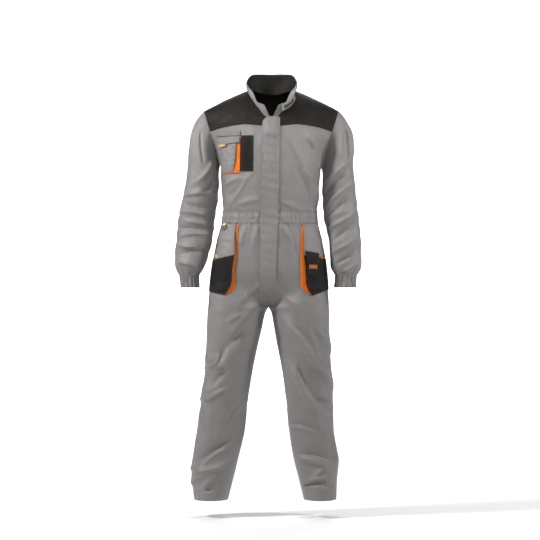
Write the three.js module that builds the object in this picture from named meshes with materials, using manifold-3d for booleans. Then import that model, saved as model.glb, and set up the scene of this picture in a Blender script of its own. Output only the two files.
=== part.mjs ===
// A boiler suit, worn and hollow: one thin cloth wall for each piece that a maker cuts and sews.
// Millimetres, +Z up, the front faces -Y, +X is the suit's own left.
// The origin is the middle of the neck base, level with the tops of the shoulders.
import * as THREE from "three";
import { mergeVertices } from "three/addons/utils/BufferGeometryUtils.js";
import Module from "manifold-3d";

const { lerp, clamp } = THREE.MathUtils;
const wasm = await Module();
wasm.setup();

// Cloth and seams
const CLOTH = 1.6; // one panel, turned edges included
const DOUBLE = 2.2; // two layers, as in the placket and the bands
const SEAM = 0.3; // space between two pieces that are sewn together
const RIGHT = -1; // the suit's own right, at -X
const LEFT = 1;
const FRONT = -1;
const BACK = 1;

// Heights, from the neck base down
const UNDERARM_Z = -272;
const WAIST_TOP_Z = -433;
const WAIST_BOTTOM_Z = -480;
const FORK_TOP_Z = -640;
const CROTCH_Z = -783;
const HEM_Z = -1486;
const COLLAR_TOP_Z = 69;

// The suit leans a little: the middle line drifts to -X on its way down.
const LEAN_TOP = 9;
const LEAN_HEM = -13;

// Shoulders and neck
const SHOULDER = { x: 246, y: 8, z: -70 };
const NECK = { x: 82, z: 6, rise: 8 };
const NECK_SHARE = NECK.x / SHOULDER.x; // the neck point's share of the way to the armhole
const ARC_FRONT = { drop: 1, round: 1.2, flat: 0.62 }; // how squarely the chest turns into the shoulder
const ARC_BACK = { drop: 0.85, round: 1.5, flat: 0.42 };
const NECKLINE = { front: 0.41, back: 0.76, bend: 2.2 };
const YOKE_SEAM = { frontMiddle: 0.328, frontSide: 0.42, backMiddle: 0.3, backSide: 0.36 };
const SQUARE = 0.85; // 1 is an ellipse, less is squarer

// Trunk sections: half width, and how far the cloth lies before and behind the middle
const TRUNK = [
  { z: -272, half: 183, front: 135, back: 122 },
  { z: -358, half: 178, front: 131, back: 113 },
  { z: -433, half: 171, front: 124, back: 105 },
  { z: -480, half: 175, front: 123, back: 107 },
  { z: -540, half: 188, front: 126, back: 118 },
  { z: -613, half: 204, front: 128, back: 129 },
  { z: -686, half: 212, front: 126, back: 132 },
  { z: -783, half: 219, front: 118, back: 124 },
];

// Leg sections: outer and inner edge of each leg from the middle line, and its front and back
const LEGS = [
  { z: -640, outerRight: 214, innerRight: 0.4, outerLeft: 214, innerLeft: 0.4, front: 122, back: 122 },
  { z: -783, outerRight: 221, innerRight: 0.4, outerLeft: 221, innerLeft: 0.4, front: 116, back: 120 },
  { z: -800, outerRight: 223, innerRight: 10, outerLeft: 223, innerLeft: 9, front: 114, back: 118 },
  { z: -905, outerRight: 226, innerRight: 33, outerLeft: 225, innerLeft: 29, front: 105, back: 106 },
  { z: -1015, outerRight: 230, innerRight: 54, outerLeft: 233, innerLeft: 52, front: 98, back: 93 },
  { z: -1124, outerRight: 242, innerRight: 70, outerLeft: 240, innerLeft: 68, front: 90, back: 86 },
  { z: -1234, outerRight: 256, innerRight: 80, outerLeft: 245, innerLeft: 80, front: 80, back: 90 },
  { z: -1343, outerRight: 270, innerRight: 104, outerLeft: 263, innerLeft: 100, front: 82, back: 90 },
  { z: -1416, outerRight: 271, innerRight: 121, outerLeft: 259, innerLeft: 120, front: 94, back: 92 },
  { z: -1486, outerRight: 262, innerRight: 138, outerLeft: 257, innerLeft: 138, front: 106, back: 90 },
];

// Sleeve sections: outer and inner edge of each sleeve, its middle before the shoulder, half its depth
const SLEEVES = [
  { z: -272, outerRight: 305, innerRight: 186, outerLeft: 305, innerLeft: 187, middle: 4, deep: 70 },
  { z: -330, outerRight: 311, innerRight: 186, outerLeft: 310, innerLeft: 188, middle: 1, deep: 67 },
  { z: -394, outerRight: 322, innerRight: 190, outerLeft: 317, innerLeft: 190, middle: -3, deep: 65 },
  { z: -467, outerRight: 335, innerRight: 200, outerLeft: 326, innerLeft: 197, middle: -10, deep: 64 },
  { z: -540, outerRight: 341, innerRight: 207, outerLeft: 334, innerLeft: 214, middle: -20, deep: 62 },
  { z: -600, outerRight: 345, innerRight: 222, outerLeft: 336, innerLeft: 219, middle: -29, deep: 59 },
  { z: -645, outerRight: 341, innerRight: 237, outerLeft: 336, innerLeft: 226, middle: -36, deep: 52 },
  { z: -672, outerRight: 328, innerRight: 252, outerLeft: 321, innerLeft: 238, middle: -39, deep: 40 },
  { z: -714, outerRight: 321, innerRight: 251, outerLeft: 318, innerLeft: 236, middle: -42, deep: 37 },
];
const CAP_END_Z = -330; // below this the sleeve is a plain tube
const CUFF_TOP_Z = -672;
const CUFF_BOTTOM_Z = -714;

// Largest folds of the trousers: from one point to the other, by distance from the middle line
const LEG_FOLDS = [
  { side: RIGHT, face: FRONT, x0: 226, z0: -964, x1: 174, z1: -1015, wide: 20, high: 7 },
  { side: RIGHT, face: FRONT, x0: 239, z0: -1084, x1: 158, z1: -1128, wide: 20, high: 7 },
  { side: RIGHT, face: FRONT, x0: 30, z0: -850, x1: 179, z1: -1010, wide: 26, high: 6 },
  { side: RIGHT, face: FRONT, x0: 262, z0: -1347, x1: 200, z1: -1402, wide: 22, high: 9 },
  { side: LEFT, face: FRONT, x0: 65, z0: -835, x1: 170, z1: -980, wide: 24, high: 8 },
  { side: LEFT, face: FRONT, x0: 170, z0: -980, x1: 232, z1: -1069, wide: 22, high: 7 },
  { side: LEFT, face: FRONT, x0: 85, z0: -1000, x1: 215, z1: -1196, wide: 26, high: 7 },
  { side: LEFT, face: FRONT, x0: 120, z0: -1316, x1: 258, z1: -1343, wide: 20, high: 8 },
  { side: RIGHT, face: BACK, x0: 40, z0: -790, x1: 170, z1: -860, wide: 26, high: 7 },
  { side: RIGHT, face: BACK, x0: 90, z0: -1060, x1: 220, z1: -1100, wide: 24, high: 8 },
  { side: RIGHT, face: BACK, x0: 150, z0: -1330, x1: 240, z1: -1390, wide: 24, high: 9 },
  { side: LEFT, face: BACK, x0: 45, z0: -800, x1: 160, z1: -885, wide: 26, high: 7 },
  { side: LEFT, face: BACK, x0: 100, z0: -1090, x1: 225, z1: -1075, wide: 24, high: 8 },
  { side: LEFT, face: BACK, x0: 135, z0: -1360, x1: 230, z1: -1345, wide: 24, high: 9 },
];

// Largest folds of the sleeves, each a wave round the arm: height, tilt over the arm's depth, size
const SLEEVE_FOLDS = [
  { z: -352, tilt: 26, wide: 17, high: 1.8 },
  { z: -408, tilt: -30, wide: 17, high: 2.4 },
  { z: -462, tilt: 22, wide: 16, high: 2.6 },
  { z: -512, tilt: -26, wide: 17, high: 2 },
  { z: -566, tilt: 18, wide: 18, high: 2.2 },
  { z: -622, tilt: 8, wide: 17, high: 2.6 },
];

// Collar: the top edge by its share of the way from the middle of the back to the front end
const COLLAR_TOP = [
  { share: 0, x: 0, y: 72, z: COLLAR_TOP_Z },
  { share: 0.18, x: 44, y: 64, z: 69 },
  { share: 0.32, x: 76, y: 40, z: 64 },
  { share: 0.45, x: 93, y: 6, z: 38 },
  { share: 0.58, x: 91, y: -34, z: 7 },
  { share: 0.78, x: 67, y: -84, z: -33 },
  { share: 1, x: 27, y: -122, z: -55 },
];
const COLLAR_BACK_SHARE = 0.42; // the neck point's share of the same way

// Placket: its two edges from the middle line, + to the suit's own left
const PLACKET = [
  { z: -98, from: -18, to: 32 },
  { z: -112, from: -30, to: 32 },
  { z: -150, from: -33, to: 31 },
  { z: -430, from: -34, to: 29 },
  { z: -733, from: -35, to: 24 },
];

// Zip
const FRONT_EDGE = 3.6; // each front stops this far from the middle line, for the chain
const ZIP = { top: -106, bottom: -690, tape: 12, chain: 2.4 };

// Gathers of the bands that have elastic in them: how many waves, and their height
const GATHERS = { waistFront: 7, waistBack: 22, cuff: 15, high: 2.2 };

const COLOURS = {
  grey: { color: 0x8a8682, roughness: 0.78, metalness: 0 },
  black: { color: 0x2b2826, roughness: 0.8, metalness: 0 },
  orange: { color: 0xee6f22, roughness: 0.75, metalness: 0 },
  yellow: { color: 0xe9c987, roughness: 0.7, metalness: 0 },
  steel: { color: 0x2f2f31, roughness: 0.35, metalness: 0.9 },
};
const MATERIALS = {};
for (const [name, look] of Object.entries(COLOURS)) {
  MATERIALS[name] = new THREE.MeshStandardMaterial(look);
}

const suit = new THREE.Group();

function addPiece(name, material, geometry) {
  const piece = new THREE.Mesh(geometry, MATERIALS[material]);
  piece.name = name;
  suit.add(piece);
  return piece;
}

// Shares from 0 to 1, evenly spaced
function evenly(count) {
  return Array.from({ length: count + 1 }, (_, i) => i / count);
}

function smoothStep(from, to, value) {
  const t = clamp((value - from) / (to - from), 0, 1);
  return t * t * (3 - 2 * t);
}

// One column of a table at a key, on a smooth curve through the rows
function readTable(table, key, column, value) {
  const down = table[0][key] > table[table.length - 1][key];
  const order = down ? -1 : 1;
  const at = (i) => table[clamp(i, 0, table.length - 1)];
  let i = 0;
  while (i < table.length - 2 && order * (value - at(i + 1)[key]) > 0) i += 1;
  const span = at(i + 1)[key] - at(i)[key];
  const t = clamp((value - at(i)[key]) / span, 0, 1);
  const slope = (k) => (at(k + 1)[column] - at(k - 1)[column]) / (at(k + 1)[key] - at(k - 1)[key]);
  const [from, to] = [at(i)[column], at(i + 1)[column]];
  const [rise0, rise1] = [slope(i) * span, slope(i + 1) * span];
  const square = t * t;
  const cube = square * t;
  return (
    (2 * cube - 3 * square + 1) * from +
    (cube - 2 * square + t) * rise0 +
    (3 * square - 2 * cube) * to +
    (cube - square) * rise1
  );
}

// From distances off the middle line to the suit's own frame
function place(side, x, y, z) {
  const lean = lerp(LEAN_HEM, LEAN_TOP, (z - HEM_Z) / (COLLAR_TOP_Z - HEM_Z));
  return new THREE.Vector3(side * x + lean, y, z);
}

// How high the largest folds stand at a point of the trousers
function legFold(side, face, x, z) {
  let height = 0;
  for (const fold of LEG_FOLDS) {
    if (fold.side !== side || fold.face !== face) continue;
    const along = [fold.x1 - fold.x0, fold.z1 - fold.z0];
    const long = Math.hypot(...along);
    const t = ((x - fold.x0) * along[0] + (z - fold.z0) * along[1]) / (long * long);
    const off = ((x - fold.x0) * along[1] - (z - fold.z0) * along[0]) / long;
    const ends = smoothStep(-0.25, 0.2, t) * (1 - smoothStep(0.8, 1.25, t));
    height += fold.high * ends * Math.exp(-((off / fold.wide) ** 2));
  }
  return height;
}

// The trunk and a leg as one half ring. around: 0 is the middle of the front, 0.5 the side, 1 the back.
function trunkPoint(side, around, z) {
  const angle = Math.PI * around;
  const half = readTable(TRUNK, "z", "half", z);
  const turn = Math.cos(angle);
  const deep = readTable(TRUNK, "z", turn > 0 ? "front" : "back", z);
  const x = half * Math.abs(Math.sin(angle)) ** SQUARE;
  const y = -Math.sign(turn) * deep * Math.abs(turn) ** SQUARE;
  if (z >= FORK_TOP_Z) return [x, y];
  const name = side === LEFT ? "Left" : "Right";
  const outer = readTable(LEGS, "z", "outer" + name, z);
  const inner = Math.max(readTable(LEGS, "z", "inner" + name, z), 0.4);
  const sweep = Math.sin(2 * angle);
  const legDeep = readTable(LEGS, "z", sweep > 0 ? "front" : "back", z);
  const face = around < 0.5 ? FRONT : BACK;
  const legX = (outer + inner) / 2 - ((outer - inner) / 2) * Math.cos(2 * angle);
  const fold = legFold(side, face, legX, z);
  const foldX = -fold * Math.cos(2 * angle);
  const down = clamp((FORK_TOP_Z - z) / (FORK_TOP_Z - CROTCH_Z), 0, 1);
  // the middle seams turn under sharply to the crotch, the sides pass into the legs softly
  const share = lerp(smoothStep(0, 1, down), 1 - Math.sqrt(1 - down * down), Math.abs(turn) ** 3);
  return [lerp(x, legX + foldX, share), lerp(y, -(legDeep + fold) * sweep, share)];
}

function lowerPoint(side, around, z) {
  const [x, y] = trunkPoint(side, around, z);
  return place(side, x, y, z);
}

// The top of the shoulder, by the share of the way from the middle to the armhole
function shoulderLine(share) {
  const x = share * SHOULDER.x;
  if (x < NECK.x) return [x, NECK.z + NECK.rise * (1 - x / NECK.x)];
  const out = (x - NECK.x) / (SHOULDER.x - NECK.x);
  return [x, lerp(NECK.z, SHOULDER.z, out ** 1.15)];
}

// Chest and upper back above the underarm. up: 0 is the underarm's height, 1 the shoulder line.
// Below it, up is negative and counts down to the waist, where it is -1.
function upperPoint(side, face, share, up) {
  const around = face === FRONT ? share / 2 : 1 - share / 2;
  if (up <= 0) return lowerPoint(side, around, lerp(UNDERARM_Z, WAIST_TOP_Z, -up));
  const arc = face === FRONT ? ARC_FRONT : ARC_BACK;
  const [xLow, yLow] = trunkPoint(side, around, UNDERARM_Z);
  const [xTop, zTop] = shoulderLine(share);
  const deep = face === FRONT ? TRUNK[0].front : TRUNK[0].back;
  const climb = Math.sin((Math.PI * up) / 2) ** arc.drop;
  const turn = (1 - Math.cos((Math.PI * up) / 2)) ** arc.round;
  const flat = face * deep * (1 - arc.flat * share * share);
  const y = lerp(lerp(yLow, flat, smoothStep(0, 0.45, up)), SHOULDER.y, turn);
  return place(side, lerp(xLow, xTop, climb), y, lerp(UNDERARM_Z, zTop, climb));
}

// Where the neckline crosses a column of the upper part, and 1 outside the neck
function neckline(face, share) {
  if (share >= NECK_SHARE) return 1;
  const low = face === FRONT ? NECKLINE.front : NECKLINE.back;
  return 1 - (1 - low) * (1 - (share / NECK_SHARE) ** NECKLINE.bend);
}

function yokeSeam(face, share) {
  if (face === FRONT) return lerp(YOKE_SEAM.frontMiddle, YOKE_SEAM.frontSide, share);
  return lerp(YOKE_SEAM.backMiddle, YOKE_SEAM.backSide, share);
}

// The front at a place seen from the front: x from the middle line, + to the suit's own left
function frontAt(x, z) {
  const side = x < 0 ? RIGHT : LEFT;
  const away = Math.abs(x);
  let [low, high] = [0, 1];
  for (let step = 0; step < 26; step += 1) {
    const share = (low + high) / 2;
    const point = upperPoint(side, FRONT, share, upAt(share, z));
    if (Math.abs(point.x - place(side, 0, 0, point.z).x) < away) low = share;
    else high = share;
  }
  if (z < WAIST_TOP_Z) return lowerPoint(side, low / 2, z);
  return upperPoint(side, FRONT, low, upAt(low, z));
}

// How far up a column of the front a height lies
function upAt(share, z) {
  if (z <= UNDERARM_Z) return (z - UNDERARM_Z) / (UNDERARM_Z - WAIST_TOP_Z);
  const zTop = shoulderLine(share)[1];
  return (Math.asin(clamp((z - UNDERARM_Z) / (zTop - UNDERARM_Z), 0, 1)) * 2) / Math.PI;
}

// A wall of cloth on a surface. pointAt gives the surface by two shares, columns and rows list them.
// lift is how far its outer face lies off the surface, core a point inside the hollow it wraps.
function clothWall(pointAt, columns, rows, options = {}) {
  const { lift = () => 0, thick = () => CLOTH, core = () => [0, 0], ring = false } = options;
  const NUDGE = 1e-3;
  const normalAt = (s, t) => {
    const [s0, s1] = ring ? [s - NUDGE, s + NUDGE] : [Math.max(s - NUDGE, 0), Math.min(s + NUDGE, 1)];
    const [t0, t1] = [Math.max(t - NUDGE, 0), Math.min(t + NUDGE, 1)];
    const across = pointAt(s1, t).sub(pointAt(s0, t));
    const along = pointAt(s, t1).sub(pointAt(s, t0));
    return across.cross(along).normalize();
  };
  const middle = pointAt(0.5, 0.5);
  const [coreX, coreY] = core(middle.z);
  const outward = new THREE.Vector3(middle.x - coreX, middle.y - coreY, 0);
  const sign = Math.sign(normalAt(0.5, 0.5).dot(outward)) || 1;
  const across = ring ? columns.slice(0, -1) : columns;
  const positions = [];
  for (const face of [0, 1]) {
    for (const t of rows) {
      for (const s of across) {
        const off = lift(s, t) - face * thick(s, t);
        positions.push(...pointAt(s, t).addScaledVector(normalAt(s, t), sign * off));
      }
    }
  }
  const width = across.length;
  const height = rows.length;
  const at = (face, i, j) => face * width * height + j * width + (i % width);
  const triangles = [];
  const quad = (a, b, c, d) => triangles.push(a, b, c, a, c, d);
  const cells = ring ? width : width - 1;
  for (let j = 0; j < height - 1; j += 1) {
    for (let i = 0; i < cells; i += 1) {
      quad(at(0, i, j), at(0, i + 1, j), at(0, i + 1, j + 1), at(0, i, j + 1));
      quad(at(1, i, j), at(1, i, j + 1), at(1, i + 1, j + 1), at(1, i + 1, j));
    }
  }
  for (let i = 0; i < cells; i += 1) {
    quad(at(0, i, 0), at(1, i, 0), at(1, i + 1, 0), at(0, i + 1, 0));
    quad(at(0, i, height - 1), at(0, i + 1, height - 1), at(1, i + 1, height - 1), at(1, i, height - 1));
  }
  for (let j = 0; j < height - 1 && !ring; j += 1) {
    quad(at(0, 0, j), at(0, 0, j + 1), at(1, 0, j + 1), at(1, 0, j));
    quad(at(0, width - 1, j), at(1, width - 1, j), at(1, width - 1, j + 1), at(0, width - 1, j + 1));
  }
  return facingOut(positions, triangles);
}

// A closed geometry with its faces turned outwards
function facingOut(positions, triangles) {
  let volume = 0;
  const corner = (i) => new THREE.Vector3().fromArray(positions, 3 * triangles[i]);
  for (let i = 0; i < triangles.length; i += 3) {
    volume += corner(i).dot(corner(i + 1).cross(corner(i + 2)));
  }
  const turned = [];
  for (let i = 0; i < triangles.length; i += 3) {
    const [a, b, c] = triangles.slice(i, i + 3);
    turned.push(...(volume > 0 ? [a, b, c] : [a, c, b]));
  }
  const geometry = new THREE.BufferGeometry();
  geometry.setAttribute("position", new THREE.Float32BufferAttribute(positions, 3));
  geometry.setIndex(turned);
  geometry.computeVertexNormals();
  return geometry;
}

const trunkCore = () => [0, 0];
const SIDES = [
  { side: RIGHT, name: "right" },
  { side: LEFT, name: "left" },
];
const SEAM_SHARE = 0.0008; // half a seam's gap as a share of a column's height

// Height up a column between the waist and the yoke seam; half of the rows lie above the underarm
function upToYoke(face, share, t) {
  const top = yokeSeam(face, share) - SEAM_SHARE;
  return t < 0.5 ? lerp(-1 + 2 * SEAM_SHARE, 0, 2 * t) : lerp(0, top, 2 * t - 1);
}

const bodiceRows = evenly(12);

// Fronts, from the waist to the yoke seam
function makeFronts() {
  const columns = evenly(9);
  for (const { side, name } of SIDES) {
    const pointAt = (s, t) => {
      const up = upToYoke(FRONT, s, t);
      const share = lerp(edgeShare(up), 1 - SEAM_SHARE, s);
      return upperPoint(side, FRONT, share, upToYoke(FRONT, share, t));
    };
    addPiece("front_" + name, "grey", clothWall(pointAt, columns, bodiceRows, { core: trunkCore }));
  }
}

// The share of the way round at which a front stops beside the zip's chain, below and above the underarm
const frontEdgeShare = ((FRONT_EDGE / TRUNK[0].half) ** (1 / SQUARE) * 2) / Math.PI;

function edgeShare(up) {
  return lerp(frontEdgeShare, FRONT_EDGE / SHOULDER.x, Math.sin((Math.PI * clamp(up, 0, 1)) / 2));
}

// Back, in one piece across both sides
function makeBack() {
  const pointAt = (s, t) => {
    const across = lerp(-1 + SEAM_SHARE, 1 - SEAM_SHARE, s);
    const share = Math.abs(across);
    return upperPoint(across < 0 ? RIGHT : LEFT, BACK, share, upToYoke(BACK, share, t));
  };
  addPiece("back", "grey", clothWall(pointAt, evenly(14), bodiceRows, { core: trunkCore }));
}

// Yokes, from the yoke seams to the neckline and the shoulder seams
const yokeShares = [0, 0.12, 0.24, NECK_SHARE, 0.46, 0.6, 0.74, 0.88, 1];

function makeYokes() {
  const rows = evenly(6);
  for (const { side, name } of SIDES) {
    const pointAt = (s, t) => {
      const share = lerp(edgeShare(YOKE_SEAM.frontMiddle), 1 - SEAM_SHARE, s);
      const [low, top] = [yokeSeam(FRONT, share), neckline(FRONT, share)];
      return upperPoint(side, FRONT, share, lerp(low + SEAM_SHARE, top - SEAM_SHARE, t));
    };
    const start = edgeShare(YOKE_SEAM.frontMiddle);
    const neckColumn = (NECK_SHARE - start) / (1 - SEAM_SHARE - start);
    const columns = yokeShares.map((s) => (s === NECK_SHARE ? neckColumn : s));
    addPiece("yoke_front_" + name, "black", clothWall(pointAt, columns, rows, { core: trunkCore }));
  }
  const pointAt = (s, t) => {
    const across = lerp(-1 + SEAM_SHARE, 1 - SEAM_SHARE, s);
    const share = Math.abs(across);
    const [low, top] = [yokeSeam(BACK, share), neckline(BACK, share)];
    const up = lerp(low + SEAM_SHARE, top - SEAM_SHARE, t);
    return upperPoint(across < 0 ? RIGHT : LEFT, BACK, share, up);
  };
  const halves = yokeShares.map((s) => s / (1 - SEAM_SHARE)).map((s) => Math.min(s, 1));
  const columns = [...halves.slice(1).reverse().map((s) => (1 - s) / 2), ...halves.map((s) => (1 + s) / 2)];
  addPiece("yoke_back", "black", clothWall(pointAt, columns, rows, { core: trunkCore }));
}

// Neckline from the right front end (-1) round the back (0) to the left front end (1)
function neckPoint(along, raise) {
  const away = Math.abs(along);
  const side = along < 0 ? RIGHT : LEFT;
  if (away < COLLAR_BACK_SHARE) {
    const share = (NECK_SHARE * away) / COLLAR_BACK_SHARE;
    return upperPoint(side, BACK, share, neckline(BACK, share)).add(new THREE.Vector3(0, 0, raise));
  }
  const forward = (away - COLLAR_BACK_SHARE) / (1 - COLLAR_BACK_SHARE);
  const share = lerp(NECK_SHARE, edgeShare(NECKLINE.front), forward);
  return upperPoint(side, FRONT, share, neckline(FRONT, share)).add(new THREE.Vector3(0, 0, raise));
}

function collarTopPoint(along) {
  const read = (column) => readTable(COLLAR_TOP, "share", column, Math.abs(along));
  return place(along < 0 ? RIGHT : LEFT, read("x"), read("y"), read("z"));
}

function collarPoint(along, up) {
  const bulge = 3 * Math.sin(Math.PI * up);
  const point = neckPoint(along, 3.6).lerp(collarTopPoint(along), up);
  const away = new THREE.Vector3(point.x, point.y + 20, 0).normalize();
  return point.addScaledVector(away, bulge);
}

function makeCollar() {
  const neckCore = () => [LEAN_TOP, -20];
  const collar = (s, t) => collarPoint(lerp(-1, 1, s), t);
  addPiece("collar", "grey", clothWall(collar, evenly(26), evenly(4), { core: neckCore, thick: () => DOUBLE }));
  const lining = (s, t) => collarPoint(lerp(-6, 6, s) / 13, t);
  const inside = { core: neckCore, lift: () => -DOUBLE - 0.9, thick: () => 1 };
  addPiece("collar_lining", "black", clothWall(lining, evenly(12), [0.06, 0.25, 0.5, 0.75, 0.95], inside));
}

// Waistband: a double band with elastic, gathered most at the back
function bandPoint(side, face, share, z, waves) {
  const around = face === FRONT ? share / 2 : 1 - share / 2;
  const point = lowerPoint(side, around, z);
  const [x, y] = [point.x - place(side, 0, 0, z).x, point.y];
  const ease = face === FRONT ? smoothStep(0.28, 0.5, share) : 1;
  const wave = GATHERS.high * ease * Math.cos(2 * Math.PI * waves * share);
  const away = new THREE.Vector3(x, y, 0).normalize();
  return point.addScaledVector(away, wave);
}

function makeWaistband() {
  const zAt = (t) => lerp(WAIST_BOTTOM_Z + SEAM, WAIST_TOP_Z - SEAM, t);
  const options = { core: trunkCore, thick: () => DOUBLE, lift: () => 0.6 };
  for (const { side, name } of SIDES) {
    const pointAt = (s, t) => {
      const share = lerp(frontEdgeShare, 1 - SEAM_SHARE, s);
      return bandPoint(side, FRONT, share, zAt(t), GATHERS.waistFront);
    };
    addPiece("waistband_front_" + name, "grey", clothWall(pointAt, evenly(26), evenly(1), options));
  }
  const pointAt = (s, t) => {
    const across = lerp(-1 + SEAM_SHARE, 1 - SEAM_SHARE, s);
    const side = across < 0 ? RIGHT : LEFT;
    return bandPoint(side, BACK, Math.abs(across), zAt(t), GATHERS.waistBack / 2);
  };
  addPiece("waistband_back", "grey", clothWall(pointAt, evenly(66), evenly(1), options));
}

// Trousers: a front and a back for each leg, from the waistband to the hem
const forkRows = [0, 0.2, 0.4, 0.6, 0.75, 0.88, 1].map((t) => {
  return lerp(FORK_TOP_Z, CROTCH_Z, Math.sin((Math.PI * t) / 2));
});
const trouserHeights = [
  ...evenly(4).slice(0, -1).map((t) => lerp(WAIST_BOTTOM_Z - SEAM, FORK_TOP_Z, t)),
  ...forkRows,
  ...evenly(15).slice(1).map((t) => lerp(CROTCH_Z, HEM_Z, t)),
];

function makeTrousers() {
  const top = trouserHeights[0];
  const rows = trouserHeights.map((z) => (z - top) / (HEM_Z - top));
  for (const { side, name } of SIDES) {
    for (const [face, label] of [[FRONT, "front"], [BACK, "back"]]) {
      const pointAt = (s, t) => {
        const z = lerp(top, HEM_Z, t);
        const edge = face === FRONT && z > ZIP.bottom - 8 ? frontEdgeShare / 2 : 0.0004;
        const around = lerp(edge, 0.5 - SEAM_SHARE / 2, s);
        return lowerPoint(side, face === FRONT ? around : 1 - around, z);
      };
      const core = (z) => [z < CROTCH_Z ? side * 150 : 0, 0];
      addPiece("trouser_" + label + "_" + name, "grey", clothWall(pointAt, evenly(9), rows, { core }));
    }
  }
}

// Sleeves: a cap that starts at the armhole, then a tube. around: 0 outside, 0.25 front, 0.5 inside.
function sleeveRing(side, around, z) {
  const name = side === LEFT ? "Left" : "Right";
  const [outer, inner] = ["outer", "inner"].map((edge) => readTable(SLEEVES, "z", edge + name, z));
  const turn = 2 * Math.PI * around;
  let fold = 0;
  for (const wave of SLEEVE_FOLDS) {
    const middle = wave.z + wave.tilt * Math.sin(turn) + 8 * Math.cos(turn) * side;
    fold += wave.high * Math.exp(-(((z - middle) / wave.wide) ** 2));
  }
  const half = (outer - inner) / 2 - 2;
  const deep = readTable(SLEEVES, "z", "deep", z) - 2;
  const x = (outer + inner) / 2 + (half + fold) * Math.cos(turn);
  const y = readTable(SLEEVES, "z", "middle", z) - (deep + fold) * Math.sin(turn);
  return place(side, x, y, z);
}

function armholePoint(side, around) {
  const face = around <= 0.5 ? FRONT : BACK;
  const up = Math.abs(1 - 2 * around);
  return upperPoint(side, face, 1, up).add(new THREE.Vector3(side * 1.2, 0, 0));
}

function sleevePoint(side, around, down) {
  if (down >= 1) return sleeveRing(side, around, lerp(CAP_END_Z, CUFF_TOP_Z, down - 1));
  const start = armholePoint(side, around);
  const end = sleeveRing(side, around, CAP_END_Z);
  const reach = start.distanceTo(end);
  const turn = 2 * Math.PI * around;
  const top = (1 + Math.cos(turn)) / 2;
  const out = new THREE.Vector3(side * (0.3 + 0.8 * top), -0.25 * Math.sin(turn), -1).normalize();
  const along = sleeveRing(side, around, CAP_END_Z - 5).sub(sleeveRing(side, around, CAP_END_Z + 5));
  const last = along.normalize();
  const curve = new THREE.CubicBezierCurve3(
    start,
    start.clone().addScaledVector(out, reach * 0.36),
    end.clone().addScaledVector(last, -reach * 0.36),
    end,
  );
  return curve.getPoint(down);
}

function makeSleeves() {
  const rows = [...evenly(5), ...evenly(13).slice(1).map((t) => 1 + t * (1 - SEAM_SHARE))].map((r) => r / 2);
  for (const { side, name } of SIDES) {
    const core = (z) => [side * 262, readTable(SLEEVES, "z", "middle", z)];
    const sleeve = (s, t) => sleevePoint(side, ((s % 1) + 1) % 1, t * 2);
    const options = { core, ring: true };
    addPiece("sleeve_" + name, "grey", clothWall(sleeve, evenly(18), rows, options));
    const cuff = (s, t) => {
      const z = lerp(CUFF_TOP_Z - SEAM, CUFF_BOTTOM_Z, t);
      const point = sleeveRing(side, s, z);
      const [coreX, coreY] = core(z);
      const away = new THREE.Vector3(point.x - coreX - side * 25, point.y - coreY, 0).normalize();
      return point.addScaledVector(away, GATHERS.high * Math.cos(2 * Math.PI * GATHERS.cuff * s));
    };
    const bandOptions = { core: (z) => [side * 284, core(z)[1]], ring: true, thick: () => DOUBLE };
    addPiece("cuff_" + name, "grey", clothWall(cuff, evenly(60), evenly(1), bandOptions));
  }
}

// Placket over the zip, then the tab at its top that lies open on the left shoulder
const PLACKET_LIFT = 4.2;

function placketLift(s, t) {
  const z = lerp(PLACKET[0].z, PLACKET[PLACKET.length - 1].z, t);
  const overZip = smoothStep(-190, -150, z) * (1 - smoothStep(0.5, 1, Math.abs(2 * s - 1)));
  return PLACKET_LIFT + 7.5 * overZip + 2 * (1 - smoothStep(-730, -690, z));
}

function makePlacket() {
  const rows = [0, 0.02, 0.05, 0.09, ...evenly(20).slice(3)];
  const pointAt = (s, t) => {
    const z = lerp(PLACKET[0].z, PLACKET[PLACKET.length - 1].z, t);
    const [from, to] = ["from", "to"].map((edge) => readTable(PLACKET, "z", edge, z));
    return frontAt(lerp(from, to, s), z);
  };
  const options = { core: trunkCore, lift: placketLift, thick: () => DOUBLE };
  addPiece("placket", "grey", clothWall(pointAt, evenly(6), rows, options));
}

// Zip: two tapes behind the front edges, the closed chain between them
function makeZip() {
  const across = [-ZIP.tape, -ZIP.chain - 0.2, -ZIP.chain, ZIP.chain, ZIP.chain + 0.2, ZIP.tape];
  const columns = across.map((x) => (x + ZIP.tape) / (2 * ZIP.tape));
  const pointAt = (s, t) => frontAt(lerp(-ZIP.tape, ZIP.tape, s), lerp(ZIP.bottom, ZIP.top, t));
  const onChain = (s) => Math.abs(lerp(-ZIP.tape, ZIP.tape, s)) <= ZIP.chain + 0.01;
  const options = {
    core: trunkCore,
    lift: (s, t) => (onChain(s) ? 0.2 : -CLOTH - 2.6 + 1.2 * t),
    thick: (s, t) => (onChain(s) ? CLOTH + 3.7 - 1.2 * t : 0.9),
  };
  addPiece("zip", "black", clothWall(pointAt, columns, evenly(22), options));
}

// Pieces that lie on the front, each between two edges that run down, [x, z] from the middle line
function alongEdge(edge, t) {
  const place = t * (edge.length - 1);
  const i = Math.min(Math.floor(place), edge.length - 2);
  return [0, 1].map((k) => lerp(edge[i][k], edge[i + 1][k], place - i));
}

function frontPatch(side, inner, outer, columns, rows, options) {
  const pointAt = (s, t) => {
    const [x0, z0] = alongEdge(inner, t);
    const [x1, z1] = alongEdge(outer, t);
    return frontAt(side * lerp(x0, x1, s), lerp(z0, z1, s));
  };
  return clothWall(pointAt, evenly(columns), evenly(rows), { core: trunkCore, ...options });
}

// Lifts of the layers of a pocket off the panel that carries it
const ON_PANEL = 2.6;

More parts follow.
